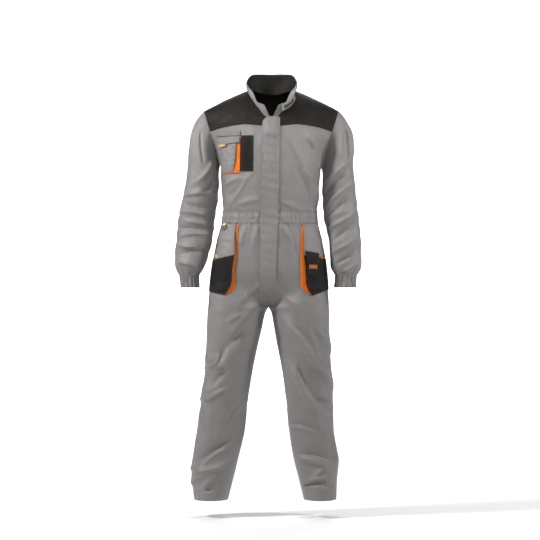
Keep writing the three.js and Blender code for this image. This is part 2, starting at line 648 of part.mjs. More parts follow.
function makeChestPocket() {
  const flat = (lift, thick = 1.2) => ({ lift: () => lift, thick: () => thick });
  const add = (name, colour, inner, outer, columns, rows, options) => {
    addPiece(name, colour, frontPatch(RIGHT, inner, outer, columns, rows, options));
  };
  add("chest_gusset", "orange", [[110, -174], [110, -298]], [[176, -174], [174, -303]], 4, 5, flat(ON_PANEL + 0.8));
  add("chest_pocket", "grey", [[123, -174], [125, -246], [132, -294]], [[182, -174], [178, -246], [176, -299]],
    4, 6, { lift: (s, t) => 5.4 + 4 * Math.sin(Math.PI * t) * (1 - s), thick: () => 1.2 });
  add("chest_flap", "grey", [[111, -166], [113, -189]], [[199, -168], [190, -197]], 4, 2,
    { lift: (s, t) => 7.6 + 4.6 * (1 - s) * t, thick: () => 1.4 });
  add("chest_flap_band", "grey", [[111, -146], [111, -164]], [[193, -144], [199, -166]], 4, 1, flat(4, DOUBLE));
  add("chest_patch_pocket", "black", [[64, -164], [63, -293]], [[107.8, -164], [107.8, -293]], 3, 5, flat(3.3, 2));
  add("chest_flap_tab", "yellow", [[158, -192], [158, -202]], [[184, -193], [184, -203]], 2, 1,
    { lift: (s) => 12.7 - 3.4 * s, thick: () => 1.2 });
}

// Hip pockets: an orange gusset at the inner edge carries the face, which closes at the side
const HIP_POCKETS = [
  {
    side: RIGHT,
    name: "right",
    gussetInner: [[112, -484], [116, -590], [123, -660], [123, -717], [158, -744]],
    gussetOuter: [[118, -484], [131, -590], [143, -660], [152, -712], [160, -736]],
    faceTop: [[121, -484], [122, -540], [122, -595.4]],
    faceTopSide: [[172, -484], [186, -540], [200, -613.4]],
    faceLow: [[122, -596], [128, -640], [132, -688], [141, -718], [158, -740]],
    faceLowSide: [[202, -614], [207, -650], [211, -690], [213, -715], [213, -728]],
  },
  {
    side: LEFT,
    name: "left",
    gussetInner: [[115, -484], [110.6, -546], [111, -650], [115, -711], [152, -743]],
    gussetOuter: [[118, -484], [126, -546], [137, -650], [146, -704], [158, -734]],
    faceTop: [[120, -484], [120, -545], [121, -596.4]],
    faceTopSide: [[172, -484], [186, -540], [200, -609.4]],
    faceLow: [[121, -597], [127, -640], [131, -690], [138, -720], [155, -743]],
    faceLowSide: [[202, -610], [207, -650], [211, -690], [213, -712], [213, -722]],
  },
];
const GUSSET_RISE = 6.5;

function makeHipPockets() {
  const rise = (t) => Math.sin(Math.PI * clamp(t, 0, 1)) ** 0.7;
  for (const { side, name, ...edges } of HIP_POCKETS) {
    const gusset = {
      lift: (s, t) => ON_PANEL - 0.5 + GUSSET_RISE * s * rise(t * 0.93 + 0.02),
      thick: () => 1.2,
    };
    addPiece("hip_gusset_" + name, "orange",
      frontPatch(side, edges.gussetInner, edges.gussetOuter, 3, 8, gusset));
    const top = {
      lift: (s, t) => 4.8 + (GUSSET_RISE + 1) * (1 - s) ** 1.5 * smoothStep(0, 0.6, t) + 1.2 * t,
      thick: () => 1.2,
    };
    addPiece("hip_pocket_top_" + name, "grey",
      frontPatch(side, edges.faceTop, edges.faceTopSide, 6, 5, top));
    const low = {
      lift: (s, t) => 5.4 + (GUSSET_RISE + 0.6) * (1 - s) ** 1.5 * (1 - smoothStep(0.75, 1, t)),
      thick: () => 1.4,
    };
    addPiece("hip_pocket_low_" + name, "black",
      frontPatch(side, edges.faceLow, edges.faceLowSide, 6, 6, low));
  }
  const onPocket = (base, inner) => ({ lift: (s) => lerp(inner, base, s), thick: () => 1.2 });
  addPiece("hip_tab_right", "yellow",
    frontPatch(RIGHT, [[178, -600], [180, -609]], [[192, -592], [194, -601]], 2, 1, onPocket(7.7, 8.9)));
  addPiece("hip_tab_left", "orange",
    frontPatch(LEFT, [[180, -598], [181, -609]], [[193, -602], [194, -612]], 2, 1, onPocket(7.8, 9.4)));
  addPiece("phone_pocket", "black",
    frontPatch(LEFT, [[132, -608], [132, -666]], [[172, -610], [172, -666]], 4, 3, onPocket(9.3, 15.2)));
  addPiece("phone_flap", "black",
    frontPatch(LEFT, [[124, -582], [130, -621]], [[171, -590], [176, -624]], 4, 3, onPocket(11.8, 17.8)));
  addPiece("phone_label", "orange",
    frontPatch(LEFT, [[138, -631], [138, -646]], [[167, -632], [167, -646]], 2, 1, onPocket(12, 16.8)));
}

// The placket's own end runs on along the left collar and lies open: a tab with a hook strip
const TAB = { from: 0.96, to: 0.66, fall: new THREE.Vector3(4, -17, -25), off: new THREE.Vector3(0.5, -2.6, -1) };

function tabPoint(s, t) {
  const edge = collarTopPoint(lerp(TAB.from, TAB.to, s));
  return edge.add(TAB.off).addScaledVector(TAB.fall, t * (1 - 0.25 * s));
}

function makeCollarTab() {
  const core = () => [LEAN_TOP, -20];
  const tab = { core, thick: () => 1.6 };
  addPiece("collar_tab", "grey", clothWall(tabPoint, evenly(7), evenly(3), tab));
  const strip = (s, t) => tabPoint(lerp(1 / 7, 6 / 7, s), lerp(0.34, 0.8, t));
  const hooks = { core, lift: () => 1.6, thick: () => 1.1 };
  addPiece("hook_strip", "black", clothWall(strip, evenly(5), evenly(1), hooks));
}

// A frame on the front at a place: its x runs across, y into the suit, z up along the cloth
function frontFrame(x, z, lift) {
  const middle = frontAt(x, z);
  const across = frontAt(x + 4, z).sub(frontAt(x - 4, z)).normalize();
  const climb = frontAt(x, z + 4).sub(frontAt(x, z - 4)).normalize();
  const inward = climb.clone().cross(across).normalize();
  const up = across.clone().cross(inward).normalize();
  const group = new THREE.Group();
  group.position.copy(middle).addScaledVector(inward, -lift);
  group.quaternion.setFromRotationMatrix(new THREE.Matrix4().makeBasis(across, inward, up));
  return group;
}

function solidOf(geometry) {
  geometry.deleteAttribute("normal");
  geometry.deleteAttribute("uv");
  const merged = mergeVertices(geometry, 1e-4);
  const vertProperties = new Float32Array(merged.attributes.position.array);
  return new wasm.Manifold(
    new wasm.Mesh({ numProp: 3, vertProperties, triVerts: new Uint32Array(merged.index.array) }),
  );
}

function joined(geometries) {
  const [first, ...others] = geometries.map(solidOf);
  const mesh = others.reduce((whole, part) => whole.add(part), first).getMesh();
  const geometry = new THREE.BufferGeometry();
  geometry.setAttribute("position", new THREE.BufferAttribute(new Float32Array(mesh.vertProperties), 3));
  geometry.setIndex(new THREE.BufferAttribute(new Uint32Array(mesh.triVerts), 1));
  return geometry;
}

function block(width, depth, height, x, y, z) {
  return new THREE.BoxGeometry(width, depth, height).translate(x, y, z);
}

// Slider and pull. Lengths across, out from the chain and up; the pull's top bar lies in the bail.
const SLIDER = { z: -122, wide: 9, thick: 2.2, tall: 12, rise: 1.9 };
const BAIL = { wide: 2, thick: 1.3, deep: 3.5, low: -0.7, high: 4.3 };
const PULL = { wide: 6, thick: 1.2, long: 22, bar: 1.4, slot: 3.4, slotWide: 2.9, below: 0.6 };

function makeSlider() {
  const frame = frontFrame(0, SLIDER.z, SLIDER.rise);
  const front = -SLIDER.thick / 2;
  const reach = front - BAIL.deep / 2 + 0.1;
  const leg = (z) => block(BAIL.wide, BAIL.deep, BAIL.thick, 0, reach, z);
  const arch = block(BAIL.wide, BAIL.thick, BAIL.high - BAIL.low + BAIL.thick, 0,
    front - BAIL.deep + 0.1 + BAIL.thick / 2, (BAIL.high + BAIL.low) / 2);
  const body = block(SLIDER.wide, SLIDER.thick, SLIDER.tall, 0, 0, 0);
  const slider = new THREE.Mesh(joined([body, leg(BAIL.high), leg(BAIL.low), arch]), MATERIALS.steel);
  slider.name = "zip_slider";
  frame.add(slider);
  const { wide, long, bar, slot, slotWide } = PULL;
  const outline = new THREE.Shape();
  outline.moveTo(-wide / 2, bar / 2);
  outline.lineTo(-wide / 2, -long + 2);
  outline.lineTo(-wide / 2 + 2, -long);
  outline.lineTo(wide / 2 - 2, -long);
  outline.lineTo(wide / 2, -long + 2);
  outline.lineTo(wide / 2, bar / 2);
  const hole = new THREE.Path();
  hole.moveTo(-slotWide / 2, -bar / 2);
  hole.lineTo(slotWide / 2, -bar / 2);
  hole.lineTo(slotWide / 2, -bar / 2 - slot);
  hole.lineTo(-slotWide / 2, -bar / 2 - slot);
  outline.holes.push(hole);
  const plate = new THREE.ExtrudeGeometry(outline, { depth: PULL.thick, bevelEnabled: false });
  plate.rotateX(Math.PI / 2).translate(0, PULL.thick / 2, 0);
  const pull = new THREE.Mesh(plate, MATERIALS.steel);
  pull.name = "zip_pull";
  pull.position.set(0, front - PULL.below - PULL.thick / 2, (BAIL.high + BAIL.low) / 2);
  frame.add(pull);
  suit.add(frame);
}

// Ring for small tools: a folded strap under the waistband, and the ring whose bar lies in its fold
const STRAP = { x: -157, z: -489, lift: 8.8, wide: 16, tall: 7.6, thick: 1.3, fold: 3.1 };
const RING = { wire: 1.3, half: 12, drop: 15, hole: 1.7 };

function makeToolRing() {
  const frame = frontFrame(STRAP.x, STRAP.z, STRAP.lift);
  const shape = new THREE.Shape();
  shape.moveTo(-STRAP.thick, STRAP.tall);
  shape.lineTo(-STRAP.thick, STRAP.fold * 0.9);
  shape.absarc(0, 0, STRAP.fold, (Math.PI * 115) / 180, (Math.PI * 425) / 180, false);
  shape.lineTo(STRAP.thick, STRAP.tall);
  const eye = new THREE.Path();
  eye.absarc(0, 0, RING.hole, 0, 2 * Math.PI, true);
  shape.holes.push(eye);
  const strap = new THREE.ExtrudeGeometry(shape, { depth: STRAP.wide, bevelEnabled: false, curveSegments: 8 });
  strap.translate(0, 0, -STRAP.wide / 2);
  // the outline's x becomes the way into the suit, its y the way up, and its depth the way across
  strap.applyMatrix4(new THREE.Matrix4().makeBasis(
    new THREE.Vector3(0, 1, 0), new THREE.Vector3(0, 0, 1), new THREE.Vector3(1, 0, 0)));
  const loop = new THREE.Mesh(strap, MATERIALS.yellow);
  loop.name = "ring_strap";
  frame.add(loop);
  const ring = new THREE.Mesh(ringGeometry(), MATERIALS.steel);
  ring.name = "tool_ring";
  frame.add(ring);
  suit.add(frame);
}

// A D of round wire: a straight bar on the x axis and an arc below it
function ringGeometry() {
  const { half, drop, wire } = RING;
  const corner = 2.6;
  const route = [];
  for (const t of evenly(4)) route.push([lerp(-half + corner, half - corner, t), 0]);
  for (const t of evenly(14)) {
    const angle = Math.PI * t;
    route.push([half * Math.cos(angle), -corner - (drop - corner) * Math.sin(angle) ** 1.1]);
  }
  const sides = 8;
  const positions = [];
  const triangles = [];
  const point = (i) => new THREE.Vector2(...route[(i + route.length) % route.length]);
  route.forEach((_, i) => {
    const along = point(i + 1).sub(point(i - 1)).normalize();
    for (let k = 0; k < sides; k += 1) {
      const turn = (2 * Math.PI * k) / sides;
      const [out, deep] = [wire * Math.cos(turn), wire * Math.sin(turn)];
      positions.push(point(i).x - along.y * out, deep, point(i).y + along.x * out);
      const next = (i + 1) % route.length;
      const [a, b] = [i * sides + k, i * sides + ((k + 1) % sides)];
      const [c, d] = [next * sides + ((k + 1) % sides), next * sides + k];
      triangles.push(a, b, c, a, c, d);
    }
  });
  return facingOut(positions, triangles);
}

suit.name = "boiler_suit";

makeFronts();
makeBack();
makeYokes();
makeCollar();
makeWaistband();
makeTrousers();
makeSleeves();
makePlacket();
makeZip();
makeChestPocket();
makeHipPockets();
makeCollarTab();
makeSlider();
makeToolRing();

export default suit;
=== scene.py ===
# %% [markdown]
# # A work boiler suit in Blender
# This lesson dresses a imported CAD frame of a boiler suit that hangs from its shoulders.
# The frame holds plain, faceted walls of cloth at their real size. Each cell below makes one kind
# of piece again as a fine sheet with creases, gathers and stitching, in the same place, and then
# gives it a finish. Lengths in the tables are millimetres, as a cutter would note them.

# %% Load the frame
import bpy
import bmesh
import math
import numpy as np
from mathutils import Matrix, Vector


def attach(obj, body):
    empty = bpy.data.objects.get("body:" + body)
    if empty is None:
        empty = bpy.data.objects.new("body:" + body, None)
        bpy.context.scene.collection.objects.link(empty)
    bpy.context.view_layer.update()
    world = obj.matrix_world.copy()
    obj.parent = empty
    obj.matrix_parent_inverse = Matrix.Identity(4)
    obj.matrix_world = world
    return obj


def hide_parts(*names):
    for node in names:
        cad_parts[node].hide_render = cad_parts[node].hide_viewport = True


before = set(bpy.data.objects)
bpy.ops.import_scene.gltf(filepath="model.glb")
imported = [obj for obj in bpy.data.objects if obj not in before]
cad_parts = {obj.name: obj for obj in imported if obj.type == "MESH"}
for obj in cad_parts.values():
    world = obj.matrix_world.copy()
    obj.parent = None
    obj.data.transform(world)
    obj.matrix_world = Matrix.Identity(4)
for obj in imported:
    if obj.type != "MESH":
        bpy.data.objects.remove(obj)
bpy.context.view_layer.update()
MM = 0.001
print("nodes in the frame:", len(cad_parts))

# %% [markdown]
# ## Sizes and section tables
# A garment's shape can be written as a few sections: how wide and how deep it is at some heights.
# Curves through the sections give every other height. The rows are the same as in the CAD source,
# because this script may read only the frame, and the sheets have to lie on the solids.

# %% Heights, shoulders and sections
UNDERARM_Z = -272
WAIST_TOP_Z = -433
WAIST_BOTTOM_Z = -480
FORK_TOP_Z = -640
CROTCH_Z = -783
HEM_Z = -1486
COLLAR_TOP_Z = 69
LEAN_TOP = 9
LEAN_HEM = -13
RIGHT, LEFT = -1, 1
FRONT, BACK = -1, 1

SHOULDER = dict(x=246, y=8, z=-70)
NECK = dict(x=82, z=6, rise=8)
NECK_SHARE = NECK["x"] / SHOULDER["x"]
ARC = {FRONT: dict(drop=1, round=1.2, flat=0.62), BACK: dict(drop=0.85, round=1.5, flat=0.42)}
NECKLINE = {FRONT: 0.41, BACK: 0.76, "bend": 2.2}
YOKE_SEAM = {FRONT: (0.328, 0.42), BACK: (0.3, 0.36)}
SQUARE = 0.85

TRUNK_COLUMNS = ("z", "half", "front", "back")
TRUNK = [
    (-272, 183, 135, 122),
    (-358, 178, 131, 113),
    (-433, 171, 124, 105),
    (-480, 175, 123, 107),
    (-540, 188, 126, 118),
    (-613, 204, 128, 129),
    (-686, 212, 126, 132),
    (-783, 219, 118, 124),
]
LEG_OVERLAP = -0.8
LEG_COLUMNS = ("z", "outer_right", "inner_right", "outer_left", "inner_left", "front", "back")
LEGS = [
    (-640, 214, LEG_OVERLAP, 214, LEG_OVERLAP, 122, 122),
    (-783, 221, LEG_OVERLAP, 221, LEG_OVERLAP, 116, 120),
    (-800, 223, 10, 223, 9, 114, 118),
    (-905, 226, 33, 225, 29, 105, 106),
    (-1015, 230, 54, 233, 52, 98, 93),
    (-1124, 242, 70, 240, 68, 90, 86),
    (-1234, 256, 80, 245, 80, 80, 90),
    (-1343, 270, 104, 263, 100, 82, 90),
    (-1416, 271, 121, 259, 120, 94, 92),
    (-1486, 262, 138, 257, 138, 106, 90),
]
SLEEVE_COLUMNS = ("z", "outer_right", "inner_right", "outer_left", "inner_left", "middle", "deep")
SLEEVES = [
    (-272, 305, 186, 305, 187, 4, 70),
    (-330, 311, 186, 310, 188, 1, 67),
    (-394, 322, 190, 317, 190, -3, 65),
    (-467, 335, 200, 326, 197, -10, 64),
    (-540, 341, 207, 334, 214, -20, 62),
    (-600, 345, 222, 336, 219, -29, 59),
    (-645, 341, 237, 336, 226, -36, 52),
    (-672, 328, 252, 321, 238, -39, 40),
    (-714, 321, 251, 318, 236, -42, 37),
]
CAP_END_Z = -330
CUFF_TOP_Z = -672
CUFF_BOTTOM_Z = -714
COLLAR_COLUMNS = ("share", "x", "y", "z")
COLLAR_TOP = [
    (0, 0, 72, COLLAR_TOP_Z),
    (0.18, 44, 64, 69),
    (0.32, 76, 40, 64),
    (0.45, 93, 6, 38),
    (0.58, 91, -34, 7),
    (0.78, 67, -84, -33),
    (1, 27, -122, -55),
]
COLLAR_BACK_SHARE = 0.42
PLACKET_COLUMNS = ("z", "start", "end")
PLACKET = [(-98, -18, 32), (-112, -30, 32), (-150, -33, 31), (-430, -34, 29), (-733, -35, 24)]
print("collar to hem:", COLLAR_TOP_Z - HEM_Z, "mm")

# %% [markdown]
# ## Curves through the sections
# NumPy works on a whole sheet of points at once, which is why these helpers take arrays. The
# curve through a table's rows is a cubic with each row's slope taken from its two neighbours.

# %% Read a table on a smooth curve
def smooth_step(start, end, value):
    t = np.clip((value - start) / (end - start), 0, 1)
    return t * t * (3 - 2 * t)


def mix(a, b, share):
    return a + (b - a) * share


def curve_through(keys, data, value):
    if keys[0] > keys[-1]:
        keys, data = keys[::-1], data[::-1]
    slopes = np.gradient(data, keys)
    inner = np.arange(1, len(keys) - 1)
    slopes[inner] = (data[inner + 1] - data[inner - 1]) / (keys[inner + 1] - keys[inner - 1])
    value = np.clip(value, keys[0], keys[-1])
    i = np.clip(np.searchsorted(keys, value) - 1, 0, len(keys) - 2)
    span = keys[i + 1] - keys[i]
    t = (value - keys[i]) / span
    return (
        (2 * t**3 - 3 * t**2 + 1) * data[i]
        + (t**3 - 2 * t**2 + t) * slopes[i] * span
        + (3 * t**2 - 2 * t**3) * data[i + 1]
        + (t**3 - t**2) * slopes[i + 1] * span
    )


def read_table(table, names, column, value):
    keys = np.array([row[0] for row in table], float)
    return curve_through(keys, np.array([row[names.index(column)] for row in table], float), value)


print("half width at the waist:", float(read_table(TRUNK, TRUNK_COLUMNS, "half", -450.0)))

# %% [markdown]
# ## The body's surface
# Everything sewn to the trunk and the legs lies on one surface. Going round it, 0 is the middle of
# the front, 0.5 the side and 1 the middle of the back. Near the fork the trunk's section passes
# into the leg's, sharply along the middle seams and softly at the sides.

# %% Trunk, legs and the upper part
def lean_at(z):
    return mix(LEAN_HEM, LEAN_TOP, (z - HEM_Z) / (COLLAR_TOP_Z - HEM_Z))


def place(side, x, y, z):
    x, y, z = np.broadcast_arrays(x, y, z)
    return np.stack([side * x + lean_at(z), y, z], axis=-1) * MM


def edge_names(side):
    return ("outer_left", "inner_left") if side == LEFT else ("outer_right", "inner_right")


FOLDS_START_Z = -745
# Soft folds of each leg's front and back: start (x, z), end (x, z), half width, height
LEG_FOLDS = {
    (RIGHT, FRONT): [
        ((226, -964), (174, -1015), 20, 7),
        ((239, -1084), (158, -1128), 20, 7),
        ((30, -850), (179, -1010), 26, 6),
        ((262, -1347), (200, -1402), 22, 9),
    ],
    (LEFT, FRONT): [
        ((65, -835), (170, -980), 24, 8),
        ((170, -980), (232, -1069), 22, 7),
        ((85, -1000), (215, -1196), 26, 7),
        ((120, -1316), (258, -1343), 20, 8),
    ],
    (RIGHT, BACK): [
        ((40, -790), (170, -860), 26, 7),
        ((90, -1060), (220, -1100), 24, 8),
        ((150, -1330), (240, -1390), 24, 9),
    ],
    (LEFT, BACK): [
        ((45, -800), (160, -885), 26, 7),
        ((100, -1090), (225, -1075), 24, 8),
        ((135, -1360), (230, -1345), 24, 9),
    ],
}


def along_and_off(x, z, start, end, bend=0):
    run, rise = end[0] - start[0], end[1] - start[1]
    length = math.hypot(run, rise)
    t = ((x - start[0]) * run + (z - start[1]) * rise) / length**2
    off = ((z - start[1]) * run - (x - start[0]) * rise) / length - bend * 4 * t * (1 - t)
    return t, off


def soft_fold(x, z, start, end, wide, high):
    t, off = along_and_off(x, z, start, end)
    ends = smooth_step(-0.25, 0.2, t) * (1 - smooth_step(0.8, 1.25, t))
    return high * ends * np.exp(-((off / wide) ** 2))


def leg_fold(side, face, x, z):
    total = 0 * (x + z)
    if np.min(z) > FOLDS_START_Z:
        return total
    for row in LEG_FOLDS[side, face]:
        total = total + soft_fold(x, z, *row)
    return total


# A fold of the front fades into the back's across each seam, so both panels meet there
BLEND = 0.06


def back_share(around):
    inner = smooth_step(0, BLEND, around) - smooth_step(0, BLEND, 1 - around)
    return smooth_step(0.5 - BLEND, 0.5 + BLEND, around) - 0.5 * inner


def trunk_point(side, around, z):
    angle = np.pi * around
    turn = np.cos(angle)
    half = read_table(TRUNK, TRUNK_COLUMNS, "half", z)
    deep = np.where(
        turn > 0,
        read_table(TRUNK, TRUNK_COLUMNS, "front", z),
        read_table(TRUNK, TRUNK_COLUMNS, "back", z),
    )
    x = half * np.abs(np.sin(angle)) ** SQUARE
    y = -np.sign(turn) * deep * np.abs(turn) ** SQUARE
    outer, inner = (read_table(LEGS, LEG_COLUMNS, name, z) for name in edge_names(side))
    inner = np.maximum(inner, LEG_OVERLAP)
    sweep = np.sin(2 * angle)
    leg_deep = np.where(
        sweep > 0,
        read_table(LEGS, LEG_COLUMNS, "front", z),
        read_table(LEGS, LEG_COLUMNS, "back", z),
    )
    leg_x = (outer + inner) / 2 - (outer - inner) / 2 * np.cos(2 * angle)
    fold = mix(leg_fold(side, FRONT, leg_x, z), leg_fold(side, BACK, leg_x, z), back_share(around))
    leg_x = leg_x - fold * np.cos(2 * angle)
    down = np.clip((FORK_TOP_Z - z) / (FORK_TOP_Z - CROTCH_Z), 0, 1)
    sharp = 1 - np.sqrt(1 - down**2)
    share = mix(smooth_step(0, 1, down), sharp, np.abs(turn) ** 6)
    return mix(x, leg_x, share), mix(y, -(leg_deep + fold) * sweep, share)


def lower_point(side, around, z):
    x, y = trunk_point(side, around, z)
    return place(side, x, y, z)


def shoulder_line(share):
    x = share * SHOULDER["x"]
    inside = NECK["z"] + NECK["rise"] * (1 - x / NECK["x"])
    out = np.clip((x - NECK["x"]) / (SHOULDER["x"] - NECK["x"]), 0, 1)
    return x, np.where(x < NECK["x"], inside, mix(NECK["z"], SHOULDER["z"], out**1.15))


def upper_point(side, face, share, up):
    around = share / 2 if face == FRONT else 1 - share / 2
    low = lower_point(side, around, mix(UNDERARM_Z, WAIST_TOP_Z, np.clip(-up, 0, None)))
    arc = ARC[face]
    climb_up = np.clip(up, 0, 1)
    x_low, y_low = trunk_point(side, around, np.full_like(share * up, UNDERARM_Z, dtype=float))
    x_top, z_top = shoulder_line(share)
    deep = TRUNK[0][2] if face == FRONT else TRUNK[0][3]
    climb = np.sin(np.pi / 2 * climb_up) ** arc["drop"]
    turn = (1 - np.cos(np.pi / 2 * climb_up)) ** arc["round"]
    flat = face * deep * (1 - arc["flat"] * share**2)
    y = mix(mix(y_low, flat, smooth_step(0, 0.45, climb_up)), SHOULDER["y"], turn)
    high = place(side, mix(x_low, x_top, climb), y, mix(UNDERARM_Z, z_top, climb))
    return np.where((up > 0)[..., None], high, low)


def both_sides(point, across):
    right, left = point(RIGHT, np.abs(across)), point(LEFT, np.abs(across))
    return np.where((across < 0)[..., None], right, left)


def neckline(face, share):
    low = NECKLINE[face]
    inside = 1 - (1 - low) * (1 - np.clip(share / NECK_SHARE, 0, 1) ** NECKLINE["bend"])
    return np.where(share >= NECK_SHARE, 1.0, inside)


def yoke_seam(face, share):
    return mix(*YOKE_SEAM[face], share)


print("top of the shoulder:", upper_point(LEFT, FRONT, np.array(1.0), np.array(1.0)))

# %% [markdown]
# ## Finding a place on the front
# Pockets are placed as they are seen from the front, by their distance from the middle line and
# their height. The surface is written the other way round, so the share of the way across is found
# by halving the range it can lie in until it is close enough.

# %% The front at a seen place
def up_at(share, z):
    below = (z - UNDERARM_Z) / (UNDERARM_Z - WAIST_TOP_Z)
    z_top = shoulder_line(share)[1]
    above = np.arcsin(np.clip((z - UNDERARM_Z) / (z_top - UNDERARM_Z), 0, 1)) * 2 / np.pi
    return np.where(z <= UNDERARM_Z, below, above)


def front_half(side, away, z):
    low, high = np.zeros_like(away), np.ones_like(away)
    for _ in range(22):
        share = (low + high) / 2
        point = upper_point(side, FRONT, share, up_at(share, z)) / MM
        short = np.abs(point[..., 0] - lean_at(point[..., 2])) < away
        low, high = np.where(short, share, low), np.where(short, high, share)
    return upper_point(side, FRONT, low, up_at(low, z))


def front_at(x, z):
    x, z = np.broadcast_arrays(np.asarray(x, float), np.asarray(z, float))
    right, left = front_half(RIGHT, np.abs(x), z), front_half(LEFT, np.abs(x), z)
    return np.where((x < 0)[..., None], right, left)


print("front of the waist:", front_at(40.0, -450.0))

# %% [markdown]
# ## Finishes shared by the cloths
# One node group draws every woven finish. It reads the cloth's own UV maps, so the weave follows
# each panel, and it puts out a colour, a height for the bump and a roughness. The stitching is
# drawn where the distance to a sewn edge is right: a furrow, with its shade painted dark into the
# colour, and light dashes of thread.

# %% Node helpers
def linear(red, green, blue):
    return tuple((value / 255) ** 2.2 for value in (red, green, blue)) + (1.0,)


class Nodes:
    """Adds nodes to a tree and links them."""

    def __init__(self, tree):
        self.tree = tree

    def add(self, kind, **settings):
        node = self.tree.nodes.new(kind)
        for key, value in settings.items():
            setattr(node, key, value)
        return node

    def link(self, source, target):
        if isinstance(source, (int, float, tuple)):
            target.default_value = source
        else:
            self.tree.links.new(source, target)

    def math(self, operation, first, second=0.0):
        node = self.add("ShaderNodeMath", operation=operation)
        for socket, value in zip(node.inputs, (first, second)):
            self.link(value, socket)
        return node.outputs[0]

    def mix_colour(self, share, first, second, blend="MIX"):
        node = self.add("ShaderNodeMix", data_type="RGBA", blend_type=blend)
        self.link(share, node.inputs["Factor"])
        self.link(first, node.inputs[6])
        self.link(second, node.inputs[7])
        return node.outputs[2]

    def spread(self, value, low, high, to_low=0.0, to_high=1.0):
        node = self.add("ShaderNodeMapRange", interpolation_type="SMOOTHSTEP")
        for socket, part in zip(node.inputs, (value, low, high, to_low, to_high)):
            self.link(part, socket)
        return node.outputs[0]

    def noise(self, vector, scale, detail=2.0, rough=0.5):
        node = self.add("ShaderNodeTexNoise")
        self.link(vector, node.inputs["Vector"])
        for name, value in (("Scale", scale), ("Detail", detail), ("Roughness", rough)):
            self.link(value, node.inputs[name])
        return node.outputs["Fac"]


def new_group(name, inputs, outputs):
    group = bpy.data.node_groups.new(name, "ShaderNodeTree")
    for label, kind, value in inputs:
        socket = group.interface.new_socket(label, in_out="INPUT", socket_type=kind)
        socket.default_value = value
    for label, kind in outputs:
        group.interface.new_socket(label, in_out="OUTPUT", socket_type=kind)
    nodes = Nodes(group)
    return group, nodes, nodes.add("NodeGroupInput"), nodes.add("NodeGroupOutput")


print("linear grey of the twill:", [round(value, 3) for value in linear(143, 138, 137)[:3]])

# %% [markdown]
# ## The woven group
# Twill shows as fine diagonal ribs, here 0.9 mm apart. Its ribs come from the sum of the two UV
# directions, which is how the floats of a twill step across the cloth. Wear lightens the cloth at
# a large scale, and puckers cross the rows of stitching, as they do on a washed work suit. The ribs
# and puckers also lighten and darken the colour along with their bumps, as painted shade.

# %% Woven cloth group
# metres: rib spacing, stitch rows from a sewn edge, stitch length, half width of a row
RIB = 0.0009
ROWS = (0.0025, 0.0085)
DASH = 0.0034
ROW_CORE, ROW_EDGE = 0.0004, 0.0011
# bump heights, metres
RIB_HIGH, FURROW_DEEP, THREAD_HIGH, PUCKER_HIGH, CRUMPLE_HIGH = 0.00006, 0.0006, 0.0004, 0.0032, 0.0005
# near black, painted into the colour as the shade in the furrow of a stitching row
FURROW_SHADE = (0.02, 0.02, 0.02, 1)


